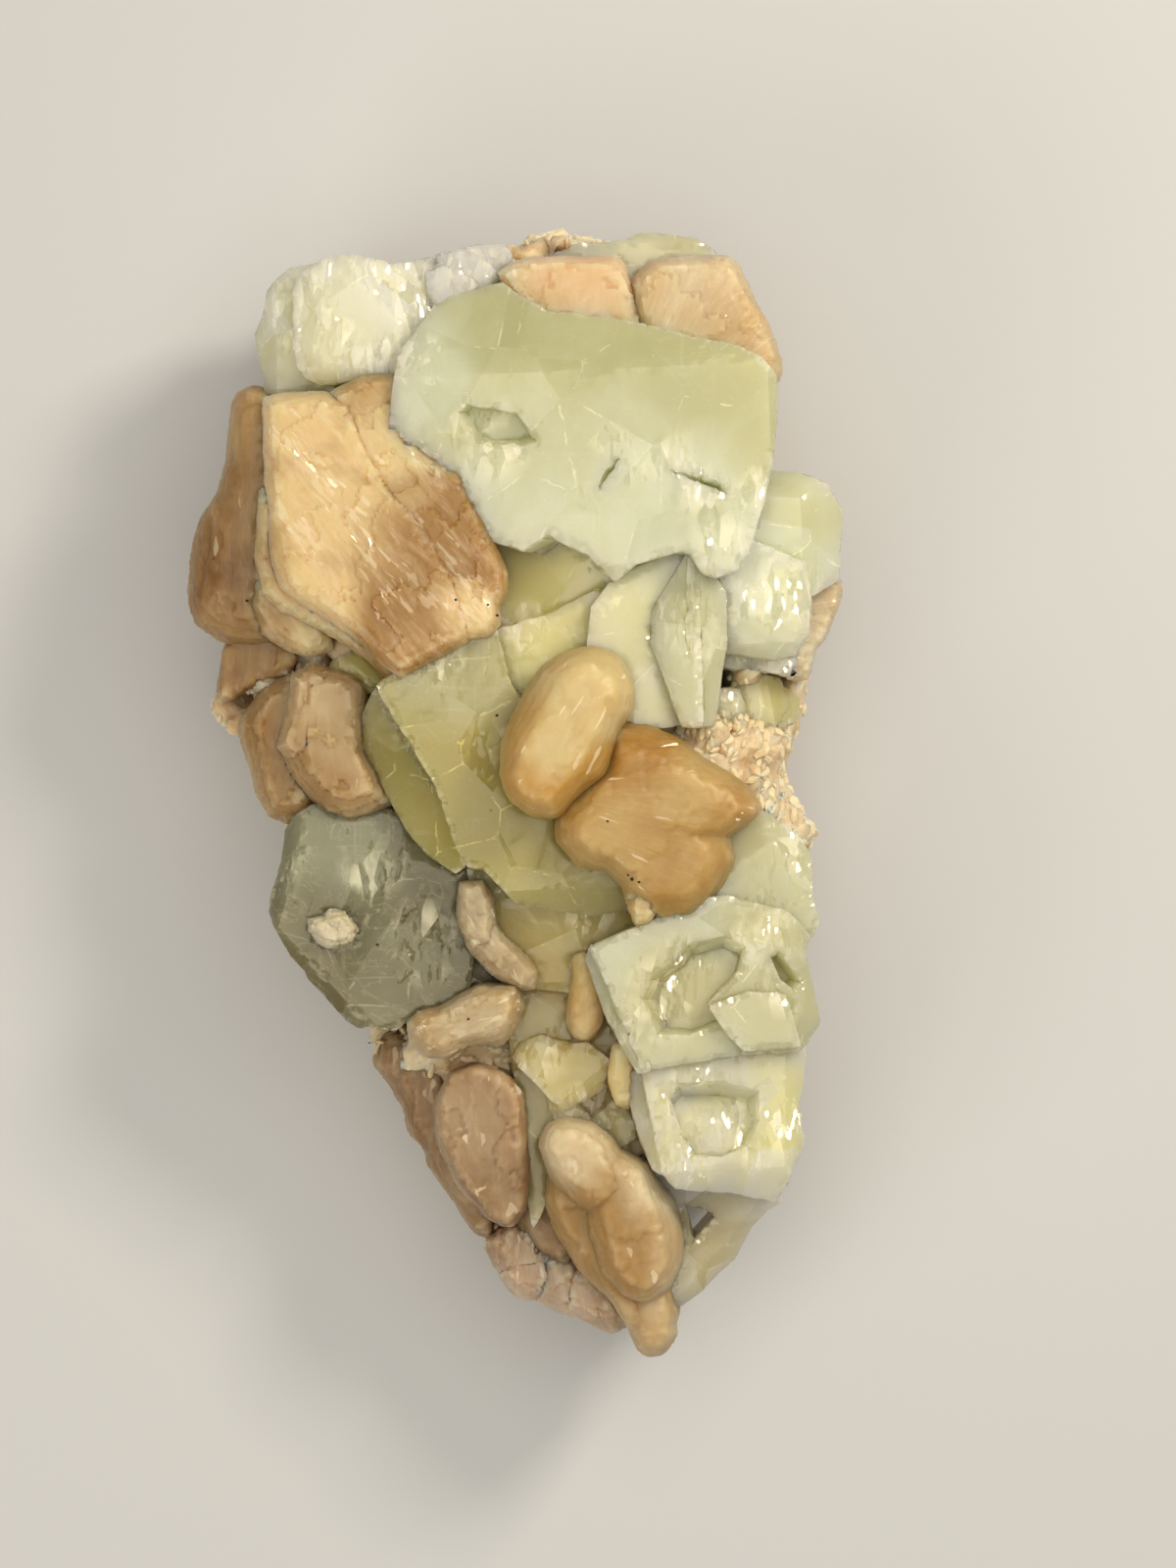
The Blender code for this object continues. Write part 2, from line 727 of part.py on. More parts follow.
def bent_blade():
    """The knee-shaped blade below the centre block."""
    upper = body(
        ((472, 904), (491, 901), (502, 918), (503, 940), (500, 960), (484, 966), (474, 950), (468, 932)),
        ((484, 915), (487, 950)), (487, 930, 33.5), crown=2.6, depth=9,
    )
    lower = body(
        (
            (472, 940), (500, 936), (512, 958), (530, 974), (545, 992), (543, 1006), (531, 1007), (505, 992),
            (480, 966),
        ),
        ((490, 952), (534, 996)), (508, 968, 32.6), crown=2.4, depth=9, east=3, north=-3,
    )
    return [upper, lower], []


def drop_blade():
    """The drop-shaped crystal that hangs over the sunken face."""
    outline = (
        (584, 975), (598, 972), (610, 990), (612, 1012), (613, 1032), (608, 1048), (598, 1060), (588, 1056),
        (582, 1040), (584, 1014), (588, 995),
    )
    return [body(outline, ((597, 990), (598, 1038)), (598, 1025, 30.5), crown=3.0, depth=8)], []


def rod():
    """The stubby rounded rod that points left."""
    outline = (
        (427, 1033), (447, 1030), (467, 1019), (490, 1008), (526, 1007), (530, 1026), (524, 1047),
        (512, 1062), (478, 1065), (457, 1076), (436, 1076), (421, 1062), (418, 1044),
    )
    return [body(outline, ((442, 1052), (505, 1030)), (470, 1040, 32.5), crown=4.2, depth=12, east=-4)], []


def thin_blade():
    """The thin upright blade against the lower right crystals."""
    outline = ((628, 1068), (637, 1066), (643, 1078), (645, 1118), (640, 1130), (630, 1126), (624, 1100))
    return [body(outline, ((634, 1080), (636, 1112)), (635, 1096, 31.5), crown=1.8, depth=9)], []


def small_cone():
    """The small cone under the bow-tie's lower fan."""
    outline = ((656, 905), (665, 918), (668, 931), (662, 940), (650, 941), (644, 926), (648, 911))
    return [body(outline, ((656, 918), (656, 930)), (656, 922, 39.5), crown=2.4, depth=7)], []


def lower_lump():
    """The pale lump of matted blades left of the lower sheaf, and the sloping ledge outside it."""
    crest = body(
        (
            (461, 1098), (476, 1090), (489, 1088), (514, 1097), (532, 1116), (534, 1150), (538, 1190),
            (534, 1232), (520, 1248), (500, 1240), (468, 1204), (448, 1160), (447, 1128),
        ),
        ((482, 1120), (508, 1215)), (492, 1150, 28.0), crown=4.2, east=-6, profile=PLATE, foot=0.9,
    )
    ledge = body(
        (
            (392, 1052), (424, 1060), (452, 1092), (470, 1140), (500, 1230), (500, 1262), (484, 1252),
            (468, 1226), (440, 1186), (438, 1172), (420, 1154), (416, 1131), (401, 1106), (382, 1082),
        ),
        ((424, 1100), (470, 1200)), (440, 1140, 22.5), crown=5.0, east=-12, foot=0.85,
    )
    notch = body(
        (
            (540, 1180), (560, 1200), (572, 1244), (590, 1270), (576, 1290), (548, 1280), (528, 1256),
            (528, 1222),
        ),
        ((545, 1212), (564, 1262)), (556, 1240, 23.0), crown=3.5,
    )
    return [crest, ledge, notch], []


def bottom_fans():
    """White fans of blades along the bottom edge."""
    left = (
        (496, 1268), (516, 1252), (548, 1250), (568, 1262), (570, 1282), (552, 1292), (516, 1302),
        (506, 1290),
    )
    lower = (
        (512, 1302), (522, 1286), (544, 1276), (558, 1276), (560, 1296), (552, 1322), (534, 1324),
        (522, 1316),
    )
    middle = (
        (548, 1310), (560, 1280), (576, 1278), (588, 1292), (582, 1340), (566, 1334), (550, 1328),
    )
    tip = (
        (578, 1298), (596, 1290), (616, 1314), (640, 1344), (642, 1350), (626, 1356), (604, 1347),
        (578, 1338),
    )
    fans = (
        (left, (536, 1272, 22.5)), (lower, (540, 1298, 22.0)), (middle, (568, 1304, 21.5)),
        (tip, (600, 1324, 21.5)),
    )
    parts = []
    for outline, (px, py, height) in fans:
        spine = ((px - 8, py - 6), (px + 8, py + 6))
        parts.append(body(outline, spine, (px, py, height), crown=4.2, north=-6))
    return parts, []


def lower_sheaf():
    """The long sheaf that runs down to the tip: a granular head, a broad back and a blunt tail."""
    head = body(
        (
            (554, 1166), (562, 1149), (578, 1144), (604, 1148), (622, 1162), (634, 1180), (632, 1204),
            (626, 1228), (610, 1236), (590, 1226), (570, 1208), (560, 1190),
        ),
        ((582, 1170), (608, 1208)), (596, 1190, 34.0), crown=5.0, depth=14, north=-3,
    )
    back = body(
        (
            (614, 1176), (636, 1176), (660, 1190), (684, 1226), (694, 1258), (693, 1291), (681, 1314),
            (660, 1330), (636, 1322), (612, 1296), (600, 1256), (604, 1214),
        ),
        ((634, 1212), (656, 1290)), (644, 1240, 33.0), crown=6.0, north=-5, east=2,
    )
    ledge = body(
        (
            (562, 1200), (600, 1212), (630, 1260), (650, 1320), (660, 1352), (646, 1356), (624, 1322),
            (592, 1292), (570, 1256), (560, 1226),
        ),
        ((584, 1232), (634, 1322)), (600, 1260, 29.0), crown=4.0, depth=13, east=-4, north=-6,
    )
    tail = body(
        (
            (630, 1300), (668, 1296), (682, 1312), (691, 1333), (685, 1350), (688, 1360), (677, 1377),
            (666, 1382), (653, 1376), (644, 1354), (634, 1334),
        ),
        ((656, 1316), (668, 1358)), (662, 1330, 28.0), crown=5.0, north=-8,
    )
    return [head, back, ledge, tail], []


def rosette():
    """The white rosette that sits on the lower left crystal."""
    outline = (
        (317, 938), (328, 936), (337, 930), (352, 931), (363, 946), (360, 960), (348, 965), (337, 967),
        (325, 961), (316, 949),
    )
    return [body(outline, ((334, 948), (346, 949)), (340, 948, 32.6), crown=1.9, depth=3.6)], []


# Matrix

MATRIX_RIM = (
    (285, 330), (330, 285), (420, 282), (520, 268), (600, 258), (700, 256), (752, 300), (780, 380),
    (776, 480), (838, 520), (842, 590), (822, 672), (796, 740), (788, 800), (812, 868), (826, 940),
    (820, 1040), (804, 1130), (790, 1196), (700, 1205), (676, 1240), (660, 1320), (610, 1335), (544, 1310),
    (516, 1258), (488, 1216), (456, 1176), (424, 1130), (392, 1078), (402, 1040), (356, 1030), (306, 970),
    (292, 900), (300, 838), (268, 800), (252, 745), (232, 716), (236, 650), (212, 610), (214, 560),
    (240, 500), (258, 410),
)


def matrix_core():
    """The body of the matrix: a broken flat back, a bulging rim and a shoulder under the crystals."""
    middle = (
        sum(p[0] for p in MATRIX_RIM) / len(MATRIX_RIM),
        sum(p[1] for p in MATRIX_RIM) / len(MATRIX_RIM),
    )
    rings = []
    for share, height in ((0.78, -3.0), (0.82, 0.6), (0.94, 5.0), (0.955, 10.0), (0.88, 12.6)):
        ring = []
        for px, py in MATRIX_RIM:
            sx, sy = nearest_on(((middle[0], middle[1] - 330), (middle[0] + 30, middle[1] + 330)), px, py)
            ring.append(seen_at(sx + (px - sx) * share, sy + (py - sy) * share, height))
        rings.append(ring)
    return stacked(rings)


def lump(centre, size, height, rough, chance):
    """An angular lump of druse, its crown at that height."""
    bm = bmesh.new()
    bmesh.ops.create_icosphere(bm, subdivisions=2, radius=1.0)
    middle = seen_at(*centre, height - size[2])
    for vert in bm.verts:
        away = 1 + chance.uniform(-rough, rough)
        vert.co = Vector((middle[i] + vert.co[i] * size[i] * away) * MM for i in range(3))
    return bm


# Where the matrix shows between the crystals: picture point, half sizes in millimetres and height
SHOWING_LUMPS = (
    ((240, 730), (2.4, 2.0, 7), 20.0), ((318, 672), (3.2, 1.6, 7), 26.5), ((725, 768), (5.0, 3.4, 12), 33.5),
    ((762, 762), (4.0, 4.4, 12), 31.0), ((780, 800), (1.9, 4.4, 11), 27.5),
    ((790, 748), (2.2, 4.0, 11), 25.0),
    ((670, 756), (4.0, 1.8, 9), 34.5), ((806, 706), (1.8, 3.2, 9), 23.0), ((428, 1078), (4.2, 3.0, 8), 24.0),
    ((456, 1090), (3.0, 2.4, 7), 24.0), ((492, 1078), (4.2, 1.8, 7), 23.0),
    ((512, 1262), (1.8, 2.0, 8), 17.0),
    ((300, 812), (3.0, 3.0, 8), 20.0), ((812, 850), (1.8, 2.4, 9), 24.0), ((636, 1164), (3.0, 3.0, 9), 28.0),
    ((530, 262), (2.4, 1.2, 8), 24.0), ((560, 256), (3.6, 1.2, 8), 23.0), ((600, 258), (3.6, 1.2, 8), 24.5),
)


def matrix():
    """The drusy matrix: its core with angular lumps, made one lumpy skin."""
    chance = random.Random(MATRIX_SEED)
    parts = [matrix_core()]
    for centre, size, height in SHOWING_LUMPS:
        parts.append(lump(centre, size, height, 0.10, chance))
    for px, py in MATRIX_RIM:
        across = chance.uniform(2.0, 3.0)
        inward = (px + (528 - px) * 0.14, py + (810 - py) * 0.07)
        parts.append(lump(inward, (across, across, 6), chance.uniform(8, 16), 0.16, chance))
    whole = bmesh.new()
    for part in parts:
        mesh = bpy.data.meshes.new("part")
        part.to_mesh(mesh)
        whole.from_mesh(mesh)
        bpy.data.meshes.remove(mesh)
    skin = helper(whole, "matrix_skin")
    remesh = skin.modifiers.new("skin", "REMESH")
    remesh.mode = "VOXEL"
    remesh.voxel_size = 1.6 * MM
    thin = skin.modifiers.new("thin", "DECIMATE")
    thin.ratio = 0.056
    bpy.context.view_layer.update()
    evaluated = skin.evaluated_get(bpy.context.evaluated_depsgraph_get())
    bm = bmesh.new()
    bm.from_mesh(evaluated.to_mesh())
    evaluated.to_mesh_clear()
    bpy.data.objects.remove(skin)
    cut_off(bm, Vector((0, 0, 0)), Vector((0, 0, -1)))
    return [bm], []


# The nodes, from the frontmost to the rearmost: each is parted from those before it
NODES = (
    ("stilbite_small_cone", small_cone, STILBITE),
    ("stilbite_centre_lobe", centre_lobe, STILBITE),
    ("stilbite_centre_bowtie", centre_bowtie, STILBITE),
    ("stilbite_bent_blade", bent_blade, STILBITE),
    ("stilbite_drop_blade", drop_blade, STILBITE),
    ("stilbite_rod", rod, STILBITE),
    ("stilbite_thin_blade", thin_blade, STILBITE),
    ("white_rosette", rosette, CALCITE),
    ("stilbite_left_sheaf", left_sheaf, STILBITE),
    ("stilbite_lower_sheaf", lower_sheaf, STILBITE),
    ("apophyllite_upper_block", upper_block, APOPHYLLITE),
    ("apophyllite_centre_block", centre_block, APOPHYLLITE),
    ("apophyllite_lower_right_block", lower_right_block, APOPHYLLITE),
    ("apophyllite_bottom_block", bottom_block, APOPHYLLITE),
    ("apophyllite_spindle", spindle, APOPHYLLITE),
    ("apophyllite_middle_plate", middle_plate, APOPHYLLITE),
    ("stilbite_left_bundle", left_bundle, STILBITE),
    ("stilbite_top_left", top_left_stilbite, STILBITE),
    ("stilbite_top_right", top_right_stilbite, STILBITE),
    ("stilbite_right_wedge", right_wedge, STILBITE),
    ("apophyllite_right_block", right_block, APOPHYLLITE),
    ("apophyllite_middle_wedge", middle_wedge, APOPHYLLITE),
    ("apophyllite_lower_left_block", lower_left_block, APOPHYLLITE),
    ("apophyllite_lower_middle", lower_middle, APOPHYLLITE),
    ("stilbite_left_plate", left_plate, STILBITE),
    ("apophyllite_upper_left", upper_left, APOPHYLLITE),
    ("milky_crystal_top", white_crystal, APOPHYLLITE),
    ("apophyllite_top_plate", top_plate, APOPHYLLITE),
    ("apophyllite_small_left", small_left_crystal, APOPHYLLITE),
    ("apophyllite_small_right", small_crystals, APOPHYLLITE),
    ("apophyllite_bottom_rim", bottom_rim, APOPHYLLITE),
    ("stilbite_lower_lump", lower_lump, STILBITE),
    ("stilbite_bottom_fans", bottom_fans, STILBITE),
    ("druse_matrix", matrix, DRUSE),
)


def linear(channel):
    """One sRGB channel as linear light."""
    return channel / 12.92 if channel <= 0.04045 else ((channel + 0.055) / 1.055) ** 2.4


def finish_of(name, colour):
    """A plain material of that colour, clear for apophyllite."""
    material = bpy.data.materials.new(name)
    material.use_nodes = True
    shader = material.node_tree.nodes["Principled BSDF"]
    shader.inputs["Base Color"].default_value = (*map(linear, colour), 1)
    shader.inputs["Roughness"].default_value = 0.35
    if colour == APOPHYLLITE:
        shader.inputs["IOR"].default_value = 1.535
        shader.inputs["Transmission Weight"].default_value = 0.5
    return material


def node(name, bm, colour):
    """Places a finished solid in the scene under its own name."""
    mesh = bpy.data.meshes.new(name)
    bm.to_mesh(mesh)
    obj = bpy.data.objects.new(name, mesh)
    mesh.materials.append(finish_of(name, colour))
    bpy.context.scene.collection.objects.link(obj)
    return obj


def main():
    for obj in list(bpy.data.objects):
        bpy.data.objects.remove(obj)
    in_front = []
    for name, shape, colour in NODES:
        parts, hollows = shape()
        solid = combined(parts[0], parts[1:], "UNION")
        cutters = hollows + [wide for wide in in_front if meets(solid, wide)]
        in_front += [grown(part, CONTACT_GAP) for part in parts]
        solid = combined(solid, cutters, "DIFFERENCE")
        node(name, tidied(solid), colour)


main()
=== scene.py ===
"""Apophyllite cluster: the looks of its crystals, sheaves and druse.

The specimen lies on the back of its matrix and is seen from straight above. A place on it is a picture
point, in pixels of a 1200 x 1600 picture, and a height above the floor, which picture() turns to metres.
"""

import math

import bmesh
import bpy
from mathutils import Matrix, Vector


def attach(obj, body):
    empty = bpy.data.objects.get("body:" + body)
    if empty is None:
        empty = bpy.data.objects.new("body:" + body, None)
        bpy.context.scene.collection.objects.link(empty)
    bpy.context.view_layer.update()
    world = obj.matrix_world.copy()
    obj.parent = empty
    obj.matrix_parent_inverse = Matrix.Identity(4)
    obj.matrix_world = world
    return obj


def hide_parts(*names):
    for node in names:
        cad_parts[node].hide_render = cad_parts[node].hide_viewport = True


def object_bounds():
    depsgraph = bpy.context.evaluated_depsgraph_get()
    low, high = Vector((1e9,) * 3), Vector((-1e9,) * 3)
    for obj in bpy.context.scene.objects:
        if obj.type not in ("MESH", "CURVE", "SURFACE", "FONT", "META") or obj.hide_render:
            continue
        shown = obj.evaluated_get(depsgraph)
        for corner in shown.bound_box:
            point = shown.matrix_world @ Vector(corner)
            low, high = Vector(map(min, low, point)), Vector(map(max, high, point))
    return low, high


MM = 0.001

# How the picture was taken
PIXEL = 0.1 * MM
FOCUS_HEIGHT = 32 * MM
EYE_HEIGHT = 630 * MM
PICTURE_AXIS = (600, 800)
SPECIMEN_CENTRE = (525.3, 811.4)
PICTURE_TALL = 1600 * PIXEL

# How far apart the points of a skin are, and from which angle, in degrees, its edges stay sharp
SKIN_SPACING = 0.30 * MM
ROSETTE_SPACING = 0.15 * MM
MATRIX_SPACING = 0.42 * MM
CRISP_ANGLE = 14
SOFT_ANGLE = 60

# Cleavage faces that glint are parallel: all face this way
CLEAVAGE_WAY = Vector((0.31, 0.26, 1.0)).normalized()

# Broken crystal comes away in splinters, longer along Y
SPLINTER_STRETCH = (1.0, 0.4, 0.8)
SPLINTER_WIDTH = 1.2 * MM
CHIP_WIDTH = 1.3 * MM

# Widths of what shows inside and on an apophyllite crystal. Its real growth marks and glinting steps are
# about 0.1 mm wide, and are drawn as coarse as they need to be to show
CLOUD_WIDTH = 10 * MM
PLANE_WIDTH = 8 * MM
VEIL_WIDTH = 6 * MM
WISP_WIDTH = 1.4 * MM
MARK_WIDTH = 0.6 * MM
MARKED_FIELD = 9 * MM
GLINT_WIDTH = 0.4 * MM

# Widths of what shows on a stilbite sheaf. Its real plates are about 0.1 mm thick, and are drawn as
# coarse as they need to be to show
STAIN_WIDTH = 9 * MM
PLATE_SIZE = (6 * MM, 6 * MM, 0.6 * MM)
PARTING_WIDTH = 1.6 * MM
DASH_WIDTH = 0.42 * MM
GRIT_WIDTH = 0.7 * MM

# Widths of what shows on the druse: its stains, and its sugary grains
CLUMP_WIDTH = 5 * MM
SUGAR_WIDTH = 0.8 * MM

# The matrix keeps its flat base below the first height, and has all its relief from the second
BASE_EDGE = (0.3 * MM, 2.5 * MM)

# How far light spreads under a surface, how much of it a crystal takes away for each metre, and how
# strongly each mineral bends it
GLOW_REACH = 6 * MM
ABSORPTION = 30.0
APOPHYLLITE_IOR = 1.535
STILBITE_IOR = 1.5

# The floor, and how far under the specimen it lies
FLOOR_REACH = 2.0
FLOOR_GAP = 0.05 * MM

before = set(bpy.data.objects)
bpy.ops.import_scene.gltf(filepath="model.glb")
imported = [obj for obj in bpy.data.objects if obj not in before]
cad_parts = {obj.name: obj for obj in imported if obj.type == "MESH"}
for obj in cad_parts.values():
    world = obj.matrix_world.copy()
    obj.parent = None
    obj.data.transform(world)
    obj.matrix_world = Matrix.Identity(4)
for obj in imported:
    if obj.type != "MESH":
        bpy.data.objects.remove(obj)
cad_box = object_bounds()


# Places and colours

def eye():
    """The viewer's eye."""
    x = (PICTURE_AXIS[0] - SPECIMEN_CENTRE[0]) * PIXEL
    y = (SPECIMEN_CENTRE[1] - PICTURE_AXIS[1]) * PIXEL
    return Vector((x, y, EYE_HEIGHT))


def picture(px, py, height=FOCUS_HEIGHT):
    """The point at that height which lies under a picture point."""
    x = (px - SPECIMEN_CENTRE[0]) * PIXEL
    y = (SPECIMEN_CENTRE[1] - py) * PIXEL
    ray = Vector((x, y, FOCUS_HEIGHT)) - eye()
    return eye() + ray * ((height - EYE_HEIGHT) / ray.z)


def colour(code):
    """A colour written as sRGB hex, as linear light."""
    channels = [int(code[i:i + 2], 16) / 255 for i in (1, 3, 5)]
    return (*(c / 12.92 if c <= 0.04045 else ((c + 0.055) / 1.055) ** 2.4 for c in channels), 1)


def add(tree, kind, inputs=None, out=0, **settings):
    """Adds a node with its settings and gives one of its outputs, or all of them where out is None. An
    input is a value, or the socket that feeds it."""
    node = tree.nodes.new(kind)
    for name, value in settings.items():
        setattr(node, name, value)
    for name, value in (inputs or {}).items():
        if isinstance(value, bpy.types.NodeSocket):
            tree.links.new(value, node.inputs[name])
        else:
            node.inputs[name].default_value = value
    return node.outputs[out] if node.outputs and out is not None else node.outputs


# Patterns that both the shapes and the materials use

def fan(tree, position, pivot, spacing, stretch=9.0):
    """Coordinates that run out from a pivot, one unit across each rib at the pivot's own distance."""
    arm = add(tree, "ShaderNodeVectorMath", {0: position, 1: pivot}, operation="SUBTRACT")
    split = add(tree, "ShaderNodeSeparateXYZ", {0: arm}, out=None)
    angle = add(tree, "ShaderNodeMath", {0: split[1], 1: split[0]}, operation="ARCTAN2")
    flat = add(tree, "ShaderNodeCombineXYZ", {0: split[0], 1: split[1]})
    reach = add(tree, "ShaderNodeVectorMath", {0: flat}, operation="LENGTH", out="Value")
    middle = add(tree, "ShaderNodeVectorMath", {0: pivot}, operation="LENGTH", out="Value")
    across = add(tree, "ShaderNodeMath", {0: angle, 1: middle}, operation="MULTIPLY")
    across = add(tree, "ShaderNodeMath", {0: across, 1: spacing}, operation="DIVIDE")
    along = add(tree, "ShaderNodeMath", {0: reach, 1: spacing}, operation="DIVIDE")
    along = add(tree, "ShaderNodeMath", {0: along, 1: stretch}, operation="DIVIDE")
    level = add(tree, "ShaderNodeMath", {0: split[2], 1: spacing}, operation="DIVIDE")
    level = add(tree, "ShaderNodeMath", {0: level, 1: 2.5}, operation="DIVIDE")
    return add(tree, "ShaderNodeCombineXYZ", {0: across, 1: along, 2: level})


def patches(tree, position, places):
    """A mask that is 1 in the middle of each place, a picture point, a height and a radius in mm. It runs
    straight down through the specimen, as an inclusion does."""
    flat = add(tree, "ShaderNodeVectorMath", {0: position, 1: (1.0, 1.0, 0.0)}, operation="MULTIPLY")
    mask = None
    for px, py, height, radius in places:
        middle = picture(px, py, height * MM)
        away = add(
            tree, "ShaderNodeVectorMath", {0: flat, 1: (middle.x, middle.y, 0.0)},
            operation="DISTANCE", out="Value",
        )
        spot = add(
            tree, "ShaderNodeMapRange",
            {"Value": away, "From Min": radius * MM, "From Max": radius * 0.3 * MM},
            interpolation_type="SMOOTHSTEP",
        )
        if mask is not None:
            spot = add(tree, "ShaderNodeMath", {0: mask, 1: spot}, operation="MAXIMUM")
        mask = spot
    return mask


def facets(tree, position, width):
    """The height of small flat faces that each lean their own way, as a share of their width."""
    inverse = add(tree, "ShaderNodeMath", {0: 1.0, 1: width}, operation="DIVIDE")
    cell = add(tree, "ShaderNodeTexVoronoi", {"Vector": position, "Scale": inverse}, out=None)
    lean = add(tree, "ShaderNodeVectorMath", {0: cell["Color"], 1: (0.5, 0.5, 0.5)}, operation="SUBTRACT")
    here = add(tree, "ShaderNodeVectorMath", {0: position, "Scale": inverse}, operation="SCALE")
    middle = add(tree, "ShaderNodeVectorMath", {0: cell["Position"], "Scale": inverse}, operation="SCALE")
    out = add(tree, "ShaderNodeVectorMath", {0: here, 1: middle}, operation="SUBTRACT")
    return add(tree, "ShaderNodeVectorMath", {0: lean, 1: out}, operation="DOT_PRODUCT", out="Value")


# Shapes of the surfaces

RELIEF_SIZES = (
    "Swell", "Step Height", "Step Width", "Rib Depth", "Rib Spacing", "Grain Depth", "Grain Width",
    "Wave Depth", "Wave Width", "Layer Depth", "Layer Width", "Break Depth", "Break Width", "Chip Depth",
)


def shape_tree(name, floats, **others):
    """A new tree for a shape, and its named inputs: floats, and others with their kinds of socket."""
    tree = bpy.data.node_groups.new(name, "GeometryNodeTree")
    kinds = {"Geometry": "Geometry", **{socket: "Float" for socket in floats}}
    kinds.update({socket.replace("_", " "): kind for socket, kind in others.items()})
    for socket, kind in kinds.items():
        tree.interface.new_socket(socket, in_out="INPUT", socket_type="NodeSocket" + kind)
    tree.interface.new_socket("Geometry", in_out="OUTPUT", socket_type="NodeSocketGeometry")
    return tree, add(tree, "NodeGroupInput", out=None)


def relief_tree(broken=()):
    """Growth relief on a closed skin: it is melted a little, then gets stepped plateaus, ribs that run out
    from a pivot, grains, waves, chipped edges, and rough faces where it is broken.

    It also stores how sharp each ridge and groove is and where it is broken, for the materials.
    """
    tree, given = shape_tree(
        "growth relief", RELIEF_SIZES, Pivot="Vector", Seed="Float", Melt="Int", Crisp_Angle="Float",
        Finish="Material",
    )
    position = add(tree, "GeometryNodeInputPosition")
    normal = add(tree, "GeometryNodeInputNormal")
    melted = add(
        tree, "GeometryNodeBlurAttribute", {0: position, "Iterations": given["Melt"]},
        data_type="FLOAT_VECTOR",
    )
    skin = add(tree, "GeometryNodeSetPosition", {"Geometry": given["Geometry"], "Position": melted})
    skin = ridges_and_grooves(tree, skin)
    shift = add(tree, "ShaderNodeCombineXYZ", {0: given["Seed"], 1: given["Seed"]})
    moved = add(tree, "ShaderNodeVectorMath", {0: position, 1: shift}, operation="ADD")
    parts = {}

    # plateaus with straight edges
    inverse = add(tree, "ShaderNodeMath", {0: 1.0, 1: given["Step Width"]}, operation="DIVIDE")
    cells = add(
        tree, "ShaderNodeTexVoronoi", {"Vector": moved, "Scale": inverse, "Randomness": 0.9},
        distance="CHEBYCHEV", out="Color",
    )
    random = add(tree, "ShaderNodeSeparateXYZ", {0: cells})
    parts["Step Height"] = add(tree, "ShaderNodeMath", {0: random, 1: 0.5}, operation="SUBTRACT")

    # ribs
    ribs_at = fan(tree, position, given["Pivot"], given["Rib Spacing"])
    ribs_at = add(tree, "ShaderNodeVectorMath", {0: ribs_at, 1: shift}, operation="ADD")
    ribs = add(
        tree, "ShaderNodeTexNoise", {"Vector": ribs_at, "Scale": 1.0, "Detail": 2.5, "Roughness": 0.55}
    )
    parts["Rib Depth"] = add(tree, "ShaderNodeMath", {0: ribs, 1: 0.5}, operation="SUBTRACT")

    # slow waves
    inverse = add(tree, "ShaderNodeMath", {0: 1.0, 1: given["Wave Width"]}, operation="DIVIDE")
    waves = add(tree, "ShaderNodeTexNoise", {"Vector": moved, "Scale": inverse, "Detail": 3.0})
    parts["Wave Depth"] = add(tree, "ShaderNodeMath", {0: waves, 1: 0.5}, operation="SUBTRACT")

    # plate on plate, each a little inside the one below
    level = add(tree, "ShaderNodeSeparateXYZ", {0: position}, out=2)
    level = add(tree, "ShaderNodeMath", {0: level, 1: given["Layer Width"]}, operation="DIVIDE")
    level = add(tree, "ShaderNodeMath", {0: waves, 1: 3.0, 2: level}, operation="MULTIPLY_ADD")
    layers = add(tree, "ShaderNodeMath", {0: level}, operation="FRACT")
    parts["Layer Depth"] = add(tree, "ShaderNodeMath", {0: 0.5, 1: layers}, operation="SUBTRACT")

    # grains
    parts["Grain Depth"] = facets(tree, moved, given["Grain Width"])

    # chipped edges
    edge = add(tree, "GeometryNodeInputNamedAttribute", {"Name": "ridge"}, data_type="FLOAT")
    chips = add(tree, "ShaderNodeTexNoise", {"Vector": moved, "Scale": 1 / CHIP_WIDTH, "Detail": 2.0})
    chips = add(
        tree, "ShaderNodeMapRange", {"Value": chips, "From Min": 0.48, "From Max": 0.62, "To Max": -1.0}
    )
    parts["Chip Depth"] = add(tree, "ShaderNodeMath", {0: chips, 1: edge}, operation="MULTIPLY")

    # broken places
    if broken:
        splinters = add(tree, "ShaderNodeVectorMath", {0: moved, 1: SPLINTER_STRETCH}, operation="MULTIPLY")
        rough = facets(tree, splinters, given["Break Width"])
        place = patches(tree, position, broken)
        ragged = add(tree, "ShaderNodeMapRange", {"Value": waves, "From Min": 0.4, "From Max": 0.55})
        place = add(tree, "ShaderNodeMath", {0: place, 1: ragged}, operation="MULTIPLY")
        parts["Break Depth"] = add(tree, "ShaderNodeMath", {0: rough, 1: place}, operation="MULTIPLY")
        skin = add(
            tree, "GeometryNodeStoreNamedAttribute", {"Geometry": skin, "Name": "broken", "Value": place},
            data_type="FLOAT", domain="POINT",
        )

    height = given["Swell"]
    for size, pattern in parts.items():
        part = add(tree, "ShaderNodeMath", {0: pattern, 1: given[size]}, operation="MULTIPLY")
        height = add(tree, "ShaderNodeMath", {0: height, 1: part}, operation="ADD")
    offset = add(tree, "ShaderNodeVectorMath", {0: normal, "Scale": height}, operation="SCALE")
    skin = add(tree, "GeometryNodeSetPosition", {"Geometry": skin, "Offset": offset})
    ends_in(tree, skin, given)
    return tree


